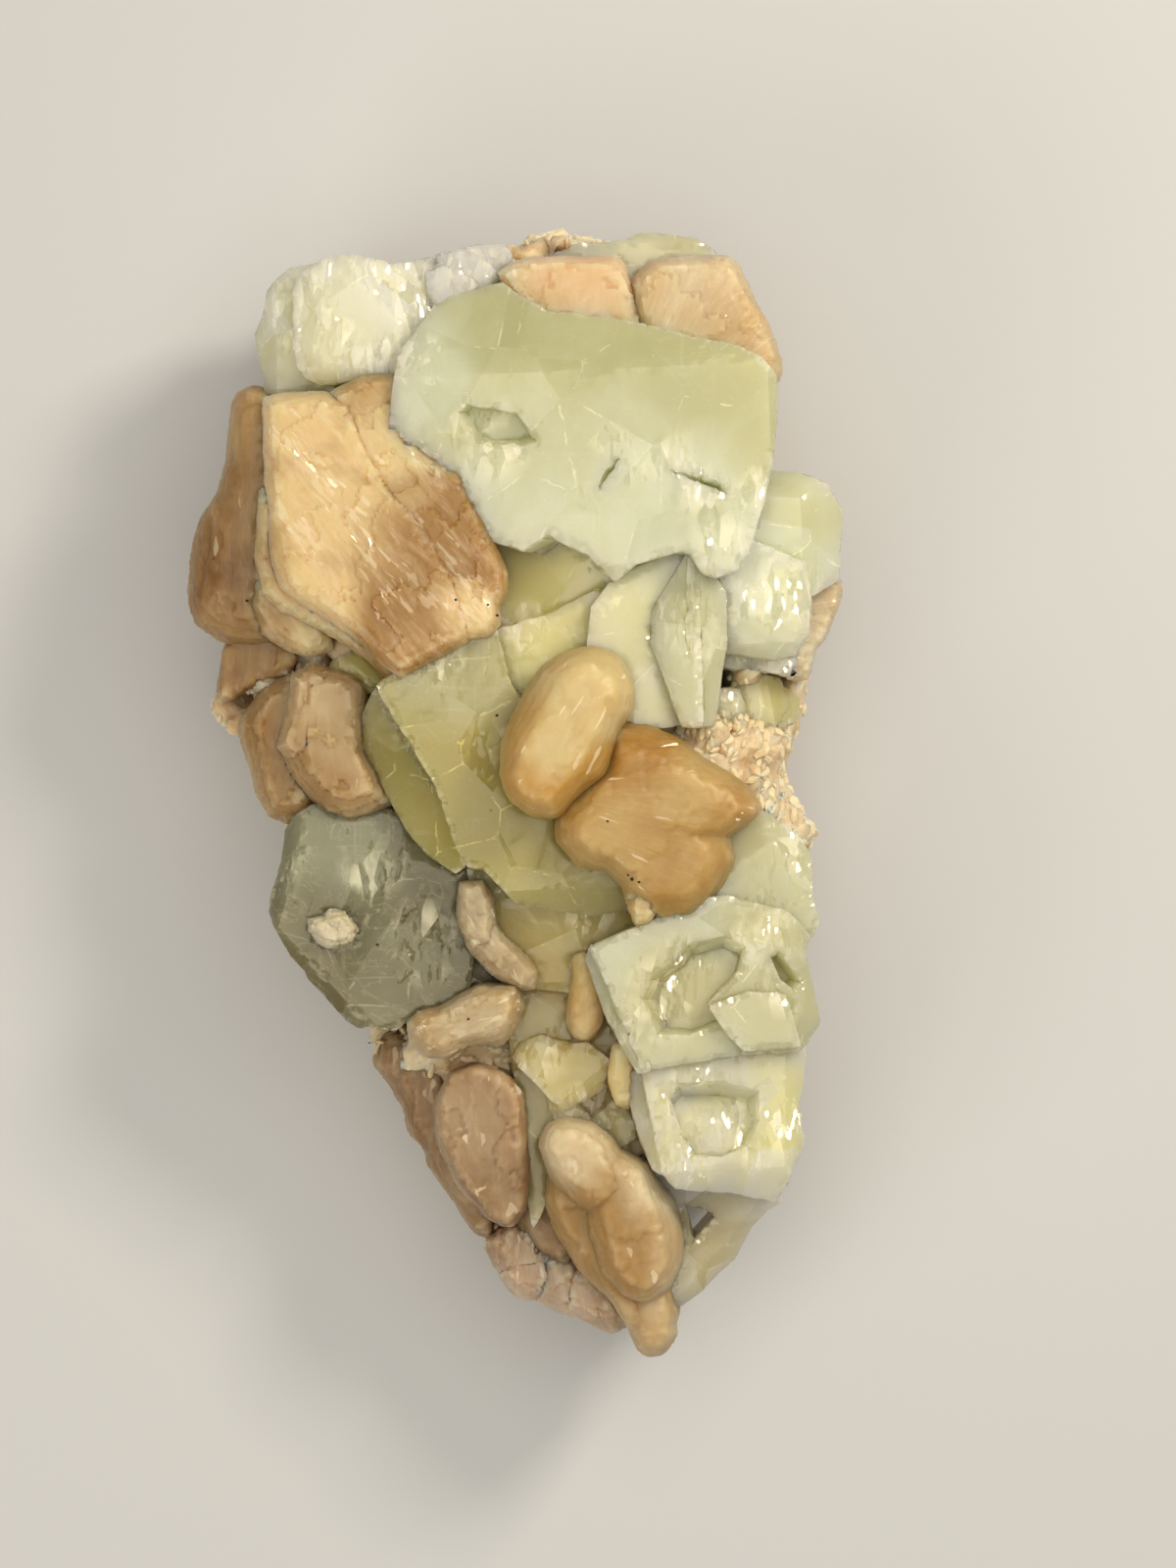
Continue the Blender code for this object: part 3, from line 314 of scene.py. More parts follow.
def ridges_and_grooves(tree, skin):
    """Stores how sharply the surface bends outwards and inwards at each point."""
    angle = add(tree, "GeometryNodeInputMeshEdgeAngle", out="Signed Angle")
    for name, sign in (("ridge", 1.0), ("groove", -1.0)):
        bend = add(tree, "ShaderNodeMath", {0: angle, 1: sign}, operation="MULTIPLY")
        bend = add(tree, "ShaderNodeMath", {0: bend, 1: 0.0}, operation="MAXIMUM")
        soft = add(tree, "GeometryNodeBlurAttribute", {"Value": bend, "Iterations": 2})
        skin = add(
            tree, "GeometryNodeStoreNamedAttribute", {"Geometry": skin, "Name": name, "Value": soft},
            data_type="FLOAT", domain="POINT",
        )
    return skin


def ends_in(tree, skin, given):
    """The end of a shape's tree: smooth but for its sharp edges, real, and in its material."""
    skin = add(tree, "GeometryNodeSetShadeSmooth", {"Geometry": skin})
    angle = add(tree, "GeometryNodeInputMeshEdgeAngle", out="Unsigned Angle")
    crisp = add(tree, "FunctionNodeCompare", {0: angle, 1: given["Crisp Angle"]}, data_type="FLOAT")
    skin = add(
        tree, "GeometryNodeSetShadeSmooth", {"Geometry": skin, "Selection": crisp, "Shade Smooth": False},
        domain="EDGE",
    )
    skin = add(tree, "GeometryNodeRealizeInstances", {"Geometry": skin})
    skin = add(tree, "GeometryNodeSetMaterial", {"Geometry": skin, "Material": given["Finish"]})
    add(tree, "NodeGroupOutput", {0: skin})


MATRIX_SIZES = ("Grain Depth", "Grain Width", "Wave Depth", "Wave Width", "Reach", "Overlap")


def matrix_tree(mounds):
    """The matrix: it rises to the feet of the crystals on it and in mounds between them, each a picture
    point, a height and a radius in mm, is rough where it shows, and keeps the flat base that it lies on."""
    tree, given = shape_tree(
        "matrix relief", MATRIX_SIZES, Crystals="Object", Crisp_Angle="Float", Finish="Material"
    )
    position = add(tree, "GeometryNodeInputPosition")
    normal = add(tree, "GeometryNodeInputNormal")
    above = add(tree, "ShaderNodeSeparateXYZ", {0: position}, out=2)
    free = add(
        tree, "ShaderNodeMapRange", {"Value": above, "From Min": BASE_EDGE[0], "From Max": BASE_EDGE[1]},
        interpolation_type="SMOOTHSTEP",
    )

    # up to the nearest crystal, where it lies in front of the surface and within reach
    crystals = add(tree, "GeometryNodeObjectInfo", {"Object": given["Crystals"]}, out="Geometry")
    near = add(tree, "GeometryNodeProximity", {0: crystals}, target_element="FACES", out=None)
    way = add(tree, "ShaderNodeVectorMath", {0: near["Position"], 1: position}, operation="SUBTRACT")
    ahead = add(tree, "ShaderNodeVectorMath", {0: way, 1: normal}, operation="DOT_PRODUCT", out="Value")
    facing = add(tree, "ShaderNodeMath", {0: ahead, 1: near["Distance"]}, operation="DIVIDE")
    facing = add(tree, "ShaderNodeMapRange", {"Value": facing, "From Min": 0.2, "From Max": 0.6})
    close = add(tree, "ShaderNodeMath", {0: near["Distance"], 1: given["Reach"]}, operation="LESS_THAN")
    close = add(tree, "ShaderNodeMath", {0: close, 1: facing}, operation="MULTIPLY")
    rise = add(tree, "ShaderNodeMath", {0: near["Distance"], 1: given["Overlap"]}, operation="ADD")
    rise = add(tree, "ShaderNodeMath", {0: rise, 1: close}, operation="MULTIPLY")
    rise = add(tree, "GeometryNodeBlurAttribute", {"Value": rise, "Iterations": 1})

    inverse = add(tree, "ShaderNodeMath", {0: 1.0, 1: given["Wave Width"]}, operation="DIVIDE")
    waves = add(tree, "ShaderNodeTexNoise", {"Vector": position, "Scale": inverse, "Detail": 4.0})
    waves = add(tree, "ShaderNodeMath", {0: waves, 1: 0.5}, operation="SUBTRACT")
    waves = add(tree, "ShaderNodeMath", {0: waves, 1: given["Wave Depth"]}, operation="MULTIPLY")
    grains = facets(tree, position, given["Grain Width"])
    grains = add(tree, "ShaderNodeMath", {0: grains, 1: given["Grain Depth"]}, operation="MULTIPLY")
    height = add(tree, "ShaderNodeMath", {0: waves, 1: grains}, operation="ADD")
    height = add(tree, "ShaderNodeMath", {0: height, 1: rise}, operation="ADD")
    height = add(tree, "ShaderNodeMath", {0: height, 1: free}, operation="MULTIPLY")
    offset = add(tree, "ShaderNodeVectorMath", {0: normal, "Scale": height}, operation="SCALE")

    upright = add(tree, "ShaderNodeSeparateXYZ", {0: normal}, out=2)
    upright = add(tree, "ShaderNodeMapRange", {"Value": upright, "From Min": 0.1, "From Max": 0.5})
    lift = 0.0
    for place in mounds:
        spot = patches(tree, position, (place,))
        short = add(tree, "ShaderNodeMath", {0: place[2] * MM, 1: above}, operation="SUBTRACT")
        short = add(tree, "ShaderNodeMath", {0: short, 1: 0.0}, operation="MAXIMUM")
        short = add(tree, "ShaderNodeMath", {0: short, 1: spot}, operation="MULTIPLY")
        lift = add(tree, "ShaderNodeMath", {0: short, 1: lift}, operation="MAXIMUM")
    lift = add(tree, "ShaderNodeMath", {0: lift, 1: upright}, operation="MULTIPLY")
    lift = add(tree, "GeometryNodeBlurAttribute", {"Value": lift, "Iterations": 3})
    lift = add(tree, "ShaderNodeCombineXYZ", {2: lift})
    offset = add(tree, "ShaderNodeVectorMath", {0: offset, 1: lift}, operation="ADD")
    skin = add(tree, "GeometryNodeSetPosition", {"Geometry": given["Geometry"], "Offset": offset})
    skin = ridges_and_grooves(tree, skin)
    ends_in(tree, skin, given)
    return tree


def druse_tree(places):
    """Small crystals strewn over a surface: thickly in the given places, thinly on its steep sides."""
    tree, given = shape_tree(
        "druse crystals", ("Thick", "Thin", "Small", "Large"), Seed="Int", Crystal="Object",
        Finish="Material",
    )
    position = add(tree, "GeometryNodeInputPosition")
    split = add(tree, "ShaderNodeSeparateXYZ", {0: position}, out=None)
    upright = add(tree, "ShaderNodeSeparateXYZ", {0: add(tree, "GeometryNodeInputNormal")}, out=2)
    place = patches(tree, position, places)
    top = add(tree, "ShaderNodeMapRange", {"Value": upright, "From Min": 0.0, "From Max": 0.3})
    thick = add(tree, "ShaderNodeMath", {0: place, 1: top}, operation="MULTIPLY")
    thick = add(tree, "ShaderNodeMath", {0: thick, 1: given["Thick"]}, operation="MULTIPLY")
    steep = add(tree, "ShaderNodeMath", {0: upright}, operation="ABSOLUTE")
    steep = add(tree, "ShaderNodeMapRange", {"Value": steep, "From Min": 0.75, "From Max": 0.55})
    clumps = add(tree, "ShaderNodeTexNoise", {"Vector": position, "Scale": 1 / CLUMP_WIDTH, "Detail": 2.0})
    clumps = add(tree, "ShaderNodeMapRange", {"Value": clumps, "From Min": 0.42, "From Max": 0.6})
    above = add(tree, "ShaderNodeMapRange", {"Value": split[2], "From Min": 1.5 * MM, "From Max": 4 * MM})
    thin = add(tree, "ShaderNodeMath", {0: steep, 1: clumps}, operation="MULTIPLY")
    thin = add(tree, "ShaderNodeMath", {0: thin, 1: above}, operation="MULTIPLY")
    thin = add(tree, "ShaderNodeMath", {0: thin, 1: given["Thin"]}, operation="MULTIPLY")
    density = add(tree, "ShaderNodeMath", {0: thick, 1: thin}, operation="MAXIMUM")
    spread = add(
        tree, "GeometryNodeDistributePointsOnFaces",
        {0: given["Geometry"], "Density": density, "Seed": given["Seed"]},
        out=None,
    )
    lean = add(
        tree, "FunctionNodeRandomValue", {0: (-0.6, -0.6, -3.1), 1: (0.6, 0.6, 3.1)},
        data_type="FLOAT_VECTOR",
    )
    lean = add(tree, "FunctionNodeEulerToRotation", {0: lean})
    turned = add(
        tree, "FunctionNodeRotateRotation", {0: spread["Rotation"], 1: lean}, rotation_space="LOCAL"
    )
    wide = add(
        tree, "FunctionNodeRandomValue", {2: given["Small"], 3: given["Large"], "Seed": 3},
        data_type="FLOAT", out=1,
    )
    crystal = add(tree, "GeometryNodeObjectInfo", {0: given["Crystal"], 1: True}, out="Geometry")
    strewn = add(
        tree, "GeometryNodeInstanceOnPoints",
        {"Points": spread["Points"], "Instance": crystal, "Rotation": turned, "Scale": wide},
    )
    strewn = add(tree, "GeometryNodeRealizeInstances", {"Geometry": strewn})
    strewn = add(tree, "GeometryNodeSetMaterial", {"Geometry": strewn, "Material": given["Finish"]})
    add(tree, "NodeGroupOutput", {0: strewn})
    return tree


def given_to(modifier, values):
    """Sets the named inputs of a geometry modifier."""
    for item in modifier.node_group.interface.items_tree:
        if item.item_type == "SOCKET" and item.in_out == "INPUT" and item.name in values:
            modifier[item.identifier] = values[item.name]


def linked(name, data):
    """A new object in the scene, of a mesh, a lamp or a camera."""
    obj = bpy.data.objects.new(name, data)
    bpy.context.scene.collection.objects.link(obj)
    return obj


def built(name, bm):
    """A new object in the scene, of a bmesh that is done with."""
    mesh = bpy.data.meshes.new(name)
    bm.to_mesh(mesh)
    bm.free()
    return linked(name, mesh)


def finished(obj, name):
    """The evaluated shape of an object as a plain piece, in place of the object."""
    bpy.context.view_layer.update()
    evaluated = obj.evaluated_get(bpy.context.evaluated_depsgraph_get())
    mesh = bpy.data.meshes.new_from_object(evaluated)
    bpy.data.objects.remove(obj)
    mesh.name = name
    return linked(name, mesh)


def skin_of(node, spacing, crisp=False):
    """A closed copy of a node's solid, with its points about a spacing apart. A crisp one keeps its sharp
    edges."""
    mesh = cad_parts[node].data.copy()
    mesh.materials.clear()
    bm = bmesh.new()
    bm.from_mesh(mesh)
    bmesh.ops.remove_doubles(bm, verts=bm.verts, dist=0.001 * MM)
    bm.to_mesh(mesh)
    bm.free()
    obj = linked(node, mesh)
    remesh = obj.modifiers.new("skin", "REMESH")
    remesh.mode = "SHARP" if crisp else "VOXEL"
    remesh.voxel_size = spacing

    # a sharp skin's cubes are halved until they are about a spacing wide
    remesh.octree_depth = max(4, math.ceil(math.log2(max(obj.dimensions) / spacing / 1.25)))
    remesh.scale = 0.9
    remesh.use_remove_disconnected = False
    return obj


def placed(piece, node=None):
    """Hands a finished piece to the frame."""
    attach(piece, "root")
    if node:
        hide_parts(node)


def grow(node, finish, slot, tree, spacing=SKIN_SPACING, crisp=False, pivot=None, melt=0, **sizes):
    """Dresses a node: its solid gets natural relief and its finish. Sizes are in millimetres. A depth that
    isn't given is none, and its width doesn't matter."""
    obj = skin_of(node, spacing, crisp)
    modifier = obj.modifiers.new("relief", "NODES")
    modifier.node_group = tree
    values = {name: 0.0 if name.endswith(("Depth", "Height")) else 1.0 * MM for name in RELIEF_SIZES}
    for name, size in sizes.items():
        values[name.replace("_", " ").title()] = size * MM
    values["Pivot"] = picture(*pivot) if pivot else Vector((0.0, 0.5, 0.0))
    values["Melt"] = melt
    values["Crisp Angle"] = math.radians(CRISP_ANGLE if crisp else SOFT_ANGLE)
    values["Seed"] = float(sum(map(ord, node)) % 97)
    values["Finish"] = finish
    given_to(modifier, values)
    piece = finished(obj, node + "_surface")
    placed(piece, node)
    return piece


# Materials

def material(name):
    """A new material, its empty tree, and its object coordinates."""
    made = bpy.data.materials.new(name)
    made.use_nodes = True
    tree = made.node_tree
    tree.nodes.clear()
    return made, tree, add(tree, "ShaderNodeTexCoord", out="Object")


def stored(tree, name, low, high):
    """A stored sharpness as a share: 0 at low and under, 1 at high and over."""
    value = add(tree, "ShaderNodeAttribute", attribute_name=name, out="Fac")
    return add(tree, "ShaderNodeMapRange", {"Value": value, "From Min": low, "From Max": high})


def tinted(tree, base, mask, strength, code):
    """The base colour, with a tint over it where the mask is."""
    share = add(tree, "ShaderNodeMath", {0: mask, 1: strength}, operation="MULTIPLY", use_clamp=True)
    return add(tree, "ShaderNodeMix", {0: share, 6: base, 7: colour(code)}, data_type="RGBA", out=2)


def spotted(tree, value, position, places, strength):
    """A value that is higher by a strength in the given places, and lower where that is negative."""
    if not places:
        return value
    spots = patches(tree, position, places)
    return add(tree, "ShaderNodeMath", {0: spots, 1: strength, 2: value}, operation="MULTIPLY_ADD")


def glinting(tree, vector, scale, share, base, spread=0.35):
    """Small cells, of which a share are cleavage faces that all face nearly the same way, wherever the
    surface itself faces roughly so: the normal with them, and the mask of those faces."""
    cells = add(tree, "ShaderNodeTexVoronoi", {"Vector": vector, "Scale": scale}, out="Color")
    random = add(tree, "ShaderNodeSeparateXYZ", {0: cells})
    chosen = add(tree, "ShaderNodeMath", {0: random, 1: share}, operation="LESS_THAN")
    agrees = add(
        tree, "ShaderNodeVectorMath", {0: base, 1: CLEAVAGE_WAY}, operation="DOT_PRODUCT", out="Value"
    )
    agrees = add(tree, "ShaderNodeMath", {0: agrees, 1: 0.6}, operation="GREATER_THAN")
    chosen = add(tree, "ShaderNodeMath", {0: chosen, 1: agrees}, operation="MULTIPLY")
    lean = add(tree, "ShaderNodeVectorMath", {0: cells, 1: (0.5, 0.5, 0.5)}, operation="SUBTRACT")
    lean = add(tree, "ShaderNodeVectorMath", {0: lean, "Scale": spread}, operation="SCALE")
    lean = add(tree, "ShaderNodeVectorMath", {0: lean, 1: CLEAVAGE_WAY}, operation="ADD")
    normal = add(tree, "ShaderNodeMix", {0: chosen, 4: base, 5: lean}, data_type="VECTOR", out=1)
    return add(tree, "ShaderNodeVectorMath", {0: normal}, operation="NORMALIZE"), chosen


def streaks(tree, vector, long, wide, share):
    """Thin marks, long one way and narrow the others, on a share of the surface."""
    marks = add(tree, "ShaderNodeVectorMath", {0: vector, 1: long}, operation="MULTIPLY")
    marks = add(tree, "ShaderNodeTexNoise", {"Vector": marks, "Scale": 1 / wide, "Detail": 1.0})
    marks = add(tree, "ShaderNodeMapRange", {"Value": marks, "From Min": 0.63, "From Max": 0.7})
    some = add(tree, "ShaderNodeTexNoise", {"Vector": vector, "Scale": 1 / MARKED_FIELD, "Detail": 2.0})
    some = add(
        tree, "ShaderNodeMapRange", {"Value": some, "From Min": 0.62 - share, "From Max": 0.72 - share}
    )
    return add(tree, "ShaderNodeMath", {0: marks, 1: some}, operation="MULTIPLY")


def apophyllite(name, pale, deep, clear=0.35, milky=0.15, shine=0.3, light=(), dark=()):
    """Apophyllite: glassy faces over clouds of fine inclusions and part-opened cleavage, so it is clear in
    some places and milky in others. The planes inside it are paler or deeper by painted reflections and meet
    in fine bright lines, fine growth marks run along and across its faces, its edges are pale with a painted
    highlight and its cracks with painted glints, and its broken places glint, some splinters whitened partly
    by painted reflections."""
    made, tree, coordinates = material(name)
    cloud = add(
        tree, "ShaderNodeTexNoise",
        {
            "Vector": coordinates, "Scale": 1 / CLOUD_WIDTH, "Detail": 3.0, "Roughness": 0.6,
            "Distortion": 0.6,
        },
    )
    cloud = add(tree, "ShaderNodeMapRange", {"Value": cloud, "From Min": 0.1, "From Max": 0.9})
    fine = add(
        tree, "ShaderNodeTexNoise",
        {"Vector": coordinates, "Scale": 1 / WISP_WIDTH, "Detail": 3.0, "Roughness": 0.6},
    )
    # Painted reflections: each plane inside is paler or deeper, as the light that it reflects would make it
    planes = facets(tree, coordinates, PLANE_WIDTH)
    cloud = add(tree, "ShaderNodeMath", {0: planes, 1: 0.6, 2: cloud}, operation="MULTIPLY_ADD")
    # Pale and deep places, partly the crystal's own tone and partly painted sheen and painted shade
    cloud = spotted(tree, cloud, coordinates, light, 0.55)
    cloud = spotted(tree, cloud, coordinates, dark, -0.55)
    cloud = add(tree, "ShaderNodeMath", {0: cloud, 1: 0.0}, operation="ADD", use_clamp=True)

    # veils of opened cleavage, and the lines where planes meet
    veils = add(
        tree, "ShaderNodeTexNoise",
        {
            "Vector": coordinates, "Scale": 1 / VEIL_WIDTH, "Detail": 3.0, "Roughness": 0.65,
            "Distortion": 1.6,
        },
    )
    some = add(tree, "ShaderNodeMapRange", {"Value": veils, "From Min": 0.52, "From Max": 0.6})
    veils = add(tree, "ShaderNodeMath", {0: veils, 1: 0.5}, operation="SUBTRACT")
    veils = add(tree, "ShaderNodeMath", {0: veils}, operation="ABSOLUTE")
    veils = add(tree, "ShaderNodeMapRange", {"Value": veils, "From Min": 0.015, "From Max": 0.0})
    wobble = add(tree, "ShaderNodeMath", {0: fine, 1: 0.5 * MM}, operation="MULTIPLY")
    bent = add(tree, "ShaderNodeVectorMath", {0: coordinates, 1: wobble}, operation="ADD")
    lines = add(
        tree, "ShaderNodeTexVoronoi", {"Vector": bent, "Scale": 1 / PLANE_WIDTH},
        feature="DISTANCE_TO_EDGE", out="Distance",
    )
    lines = add(tree, "ShaderNodeMapRange", {"Value": lines, "From Min": 0.014, "From Max": 0.0})
    lines = add(tree, "ShaderNodeMath", {0: lines, 1: some}, operation="MULTIPLY")
    across = streaks(tree, coordinates, (0.06, 1.0, 0.06), MARK_WIDTH, 0.14)
    along = streaks(tree, coordinates, (1.0, 0.06, 0.06), MARK_WIDTH, 0.12)
    marks = add(tree, "ShaderNodeMath", {0: across, 1: along}, operation="MAXIMUM")

    # Painted highlight: sharp edges are tinted pale
    edge = stored(tree, "ridge", 0.2, 0.8)
    torn = stored(tree, "broken", 0.1, 0.9)
    splinters = add(
        tree, "ShaderNodeVectorMath", {0: coordinates, 1: SPLINTER_STRETCH}, operation="MULTIPLY"
    )
    pale_ones = add(
        tree, "ShaderNodeTexVoronoi", {"Vector": splinters, "Scale": 1 / SPLINTER_WIDTH}, out="Color"
    )
    pale_ones = add(tree, "ShaderNodeSeparateXYZ", {0: pale_ones}, out=1)
    pale_ones = add(tree, "ShaderNodeMapRange", {"Value": pale_ones, "From Min": 0.3, "From Max": 0.9})
    # Broken places: some splinters are whitened, partly as crushed crystal is and partly as painted
    # reflections
    torn_white_and_glint = add(tree, "ShaderNodeMath", {0: torn, 1: pale_ones}, operation="MULTIPLY")
    base = add(tree, "ShaderNodeMix", {0: cloud, 6: colour(deep), 7: colour(pale)}, data_type="RGBA", out=2)
    # Painted glints: cracks and the corners of pits are tinted pale
    crease_glint = stored(tree, "groove", 0.2, 0.8)
    for mask, strength, code in (
        (veils, 0.2, "#efecd6"), (marks, 0.14, "#f6f3e0"), (lines, 0.12, "#f8f6e6"),
        (crease_glint, 0.4, "#f6f4e6"), (torn_white_and_glint, 0.5, "#f6f4e8"), (edge, 0.6, "#f7f5ea"),
    ):
        base = tinted(tree, base, mask, strength, code)
    passing = add(tree, "ShaderNodeMapRange", {"Value": cloud, "To Min": clear, "To Max": milky})
    marked = add(tree, "ShaderNodeMath", {0: torn_white_and_glint, 1: edge}, operation="MAXIMUM")
    marked = add(tree, "ShaderNodeMath", {0: marked, 1: lines}, operation="MAXIMUM")
    unmarked = add(tree, "ShaderNodeMath", {0: 1.0, 1: marked}, operation="SUBTRACT")
    passing = add(tree, "ShaderNodeMath", {0: passing, 1: unmarked}, operation="MULTIPLY")
    roughness = add(
        tree, "ShaderNodeMapRange",
        {"Value": fine, "From Min": 0.3, "From Max": 0.7, "To Min": 0.09, "To Max": 0.24},
    )
    bump = add(tree, "ShaderNodeBump", {"Strength": 0.3, "Distance": 0.15 * MM, "Height": fine})
    plane = add(tree, "ShaderNodeTexVoronoi", {"Vector": coordinates, "Scale": 1 / PLANE_WIDTH}, out="Color")
    plane = add(tree, "ShaderNodeVectorMath", {0: plane, 1: (0.5, 0.5, 0.5)}, operation="SUBTRACT")
    plane = add(tree, "ShaderNodeVectorMath", {0: plane, "Scale": 0.24}, operation="SCALE")
    bump = add(tree, "ShaderNodeVectorMath", {0: bump, 1: plane}, operation="ADD")
    share = add(tree, "ShaderNodeMath", {0: torn, 1: shine}, operation="MULTIPLY")
    share = add(tree, "ShaderNodeMath", {0: veils, 1: 0.04, 2: share}, operation="MULTIPLY_ADD")
    share = add(tree, "ShaderNodeMath", {0: marks, 1: 0.05, 2: share}, operation="MULTIPLY_ADD")
    normal, faces = glinting(tree, splinters, 1 / GLINT_WIDTH, share, bump)
    roughness = add(tree, "ShaderNodeMix", {0: faces, 2: roughness, 3: 0.08})
    shader = add(
        tree, "ShaderNodeBsdfPrincipled",
        {
            "Base Color": base, "Roughness": roughness, "IOR": APOPHYLLITE_IOR,
            "Transmission Weight": passing, "Normal": normal, "Subsurface Weight": 1.0,
            "Subsurface Scale": GLOW_REACH, "Subsurface Radius": (1.0, 0.95, 0.65),
        },
    )
    volume = add(tree, "ShaderNodeVolumeAbsorption", {"Color": colour(pale), "Density": ABSORPTION})
    add(tree, "ShaderNodeOutputMaterial", {"Surface": shader, "Volume": volume})
    return made


def stilbite(name, pale, deep, pivot, spacing, silk=0.35, shine=0.04, glints=(), light=(), dark=()):
    """Stilbite: a waxy sheaf of thin plates that light sinks into, so that its hollows glow orange, with
    painted shade of deep orange in its grooves and painted highlights on its ridges. Its faces are silky and
    whitish where the plates have parted, and the ends of its plates catch the light in dashes, which are
    painted whitish as well."""
    made, tree, coordinates = material(name)
    ribs_at = fan(tree, coordinates, picture(*pivot), spacing * MM)
    ribs = add(
        tree, "ShaderNodeTexNoise", {"Vector": ribs_at, "Scale": 1.0, "Detail": 3.0, "Roughness": 0.6}
    )
    cloud = add(
        tree, "ShaderNodeTexNoise",
        {
            "Vector": coordinates, "Scale": 1 / STAIN_WIDTH, "Detail": 3.0, "Roughness": 0.55,
            "Distortion": 0.8,
        },
    )
    plates_at = add(tree, "ShaderNodeVectorMath", {0: coordinates, 1: PLATE_SIZE}, operation="DIVIDE")
    plates = add(
        tree, "ShaderNodeTexNoise", {"Vector": plates_at, "Scale": 1.0, "Detail": 3.0, "Distortion": 0.3}
    )
    both = add(tree, "ShaderNodeMath", {0: cloud, 1: 1.6}, operation="MULTIPLY")
    both = add(tree, "ShaderNodeMath", {0: ribs, 1: silk, 2: both}, operation="MULTIPLY_ADD")
    both = add(tree, "ShaderNodeMath", {0: plates, 1: 0.3, 2: both}, operation="MULTIPLY_ADD")
    both = add(tree, "ShaderNodeMapRange", {"Value": both, "From Min": 0.7, "From Max": 1.55})
    # Pale and deep places, partly the sheaf's own tone and partly painted highlights and painted shade
    both = spotted(tree, both, coordinates, light, 0.6)
    both = spotted(tree, both, coordinates, dark, -0.6)
    both = add(tree, "ShaderNodeMath", {0: both, 1: 0.0}, operation="ADD", use_clamp=True)
    base = add(tree, "ShaderNodeMix", {0: both, 6: colour(deep), 7: colour(pale)}, data_type="RGBA", out=2)
    parted_at = fan(tree, coordinates, picture(*pivot), PARTING_WIDTH, 3.0)
    parted = add(
        tree, "ShaderNodeTexNoise",
        {"Vector": parted_at, "Scale": 1.0, "Detail": 4.0, "Roughness": 0.65, "Distortion": 0.8},
    )
    parted = add(tree, "ShaderNodeMapRange", {"Value": parted, "From Min": 0.5, "From Max": 0.75})
    base = tinted(tree, base, parted, silk, "#f4e4d2")
    # Painted shade: the grooves are tinted deep orange
    base = tinted(tree, base, stored(tree, "groove", 0.08, 0.5), 0.3, "#c98d52")
    # Painted highlight: the ridges are tinted pale
    base = tinted(tree, base, stored(tree, "ridge", 0.08, 0.45), 0.35, "#f5e6d0")
    grit = add(tree, "ShaderNodeTexNoise", {"Vector": coordinates, "Scale": 1 / GRIT_WIDTH, "Detail": 2.0})
    layers = add(tree, "ShaderNodeMath", {0: ribs, 1: plates}, operation="ADD")
    layers = add(tree, "ShaderNodeMath", {0: layers, 1: grit}, operation="ADD")
    bump = add(tree, "ShaderNodeBump", {"Strength": 0.45, "Distance": 0.15 * MM, "Height": layers})
    few = add(tree, "ShaderNodeTexNoise", {"Vector": parted_at, "Scale": 0.5, "Detail": 3.0})
    few = add(
        tree, "ShaderNodeMapRange",
        {"Value": few, "From Min": 0.45, "From Max": 0.6, "To Min": 0.0, "To Max": shine},
    )
    if glints:
        spots = patches(tree, coordinates, glints)
        few = add(tree, "ShaderNodeMath", {0: spots, 1: few}, operation="MULTIPLY")
    dashes = fan(tree, coordinates, picture(*pivot), DASH_WIDTH, 3.6)
    normal, faces = glinting(tree, dashes, 1.0, few, bump, 0.2)
    # Painted glints: the glinting plate ends are tinted whitish as well
    base = tinted(tree, base, faces, 0.3, "#fdf3e4")
    roughness = add(tree, "ShaderNodeMapRange", {"Value": faces, "To Min": 0.42, "To Max": 0.1})
    shader = add(
        tree, "ShaderNodeBsdfPrincipled",
        {
            "Base Color": base, "Roughness": roughness, "IOR": STILBITE_IOR, "Normal": normal,
            "Subsurface Weight": 1.0, "Subsurface Scale": GLOW_REACH, "Subsurface Radius": (1.0, 0.62, 0.35),
        },
    )
    add(tree, "ShaderNodeOutputMaterial", {"Surface": shader})
    return made


def druse(name, pale, deep, grain=0.6, shine=0.12, glow=2.0):
    """Drusy crust: sugary crystal grains, with painted shade in brown in the creases and small faces that
    glint. The width of a glinting face and how far light spreads are in mm."""
    made, tree, coordinates = material(name)
    cloud = add(
        tree, "ShaderNodeTexNoise",
        {"Vector": coordinates, "Scale": 1 / CLUMP_WIDTH, "Detail": 4.0, "Roughness": 0.65},
    )
    cloud = add(tree, "ShaderNodeMapRange", {"Value": cloud, "From Min": 0.35, "From Max": 0.65})
    base = add(tree, "ShaderNodeMix", {0: cloud, 6: colour(deep), 7: colour(pale)}, data_type="RGBA", out=2)
    # Painted shade: the creases are tinted brown
    base = tinted(tree, base, stored(tree, "groove", 0.1, 0.6), 0.35, "#a87c50")
    fine = add(tree, "ShaderNodeTexNoise", {"Vector": coordinates, "Scale": 1 / SUGAR_WIDTH, "Detail": 4.0})
    bump = add(tree, "ShaderNodeBump", {"Strength": 0.7, "Distance": 0.3 * MM, "Height": fine})
    share = add(tree, "ShaderNodeMapRange", {"Value": cloud, "To Min": shine * 0.3, "To Max": shine})
    normal = glinting(tree, coordinates, 1 / (grain * MM), share, bump, 0.5)[0]
    shader = add(
        tree, "ShaderNodeBsdfPrincipled",
        {
            "Base Color": base, "Roughness": 0.4, "IOR": STILBITE_IOR, "Normal": normal,
            "Subsurface Weight": 1.0, "Subsurface Scale": glow * MM, "Subsurface Radius": (1.0, 0.75, 0.5),
        },
    )
    add(tree, "ShaderNodeOutputMaterial", {"Surface": shader})
    return made


def dust():
    """Black grains of basalt dust, matt."""
    made, tree = material("basalt dust")[:2]
    shader = add(tree, "ShaderNodeBsdfPrincipled", {"Base Color": colour("#2b241c"), "Roughness": 0.8})
    add(tree, "ShaderNodeOutputMaterial", {"Surface": shader})
    return made
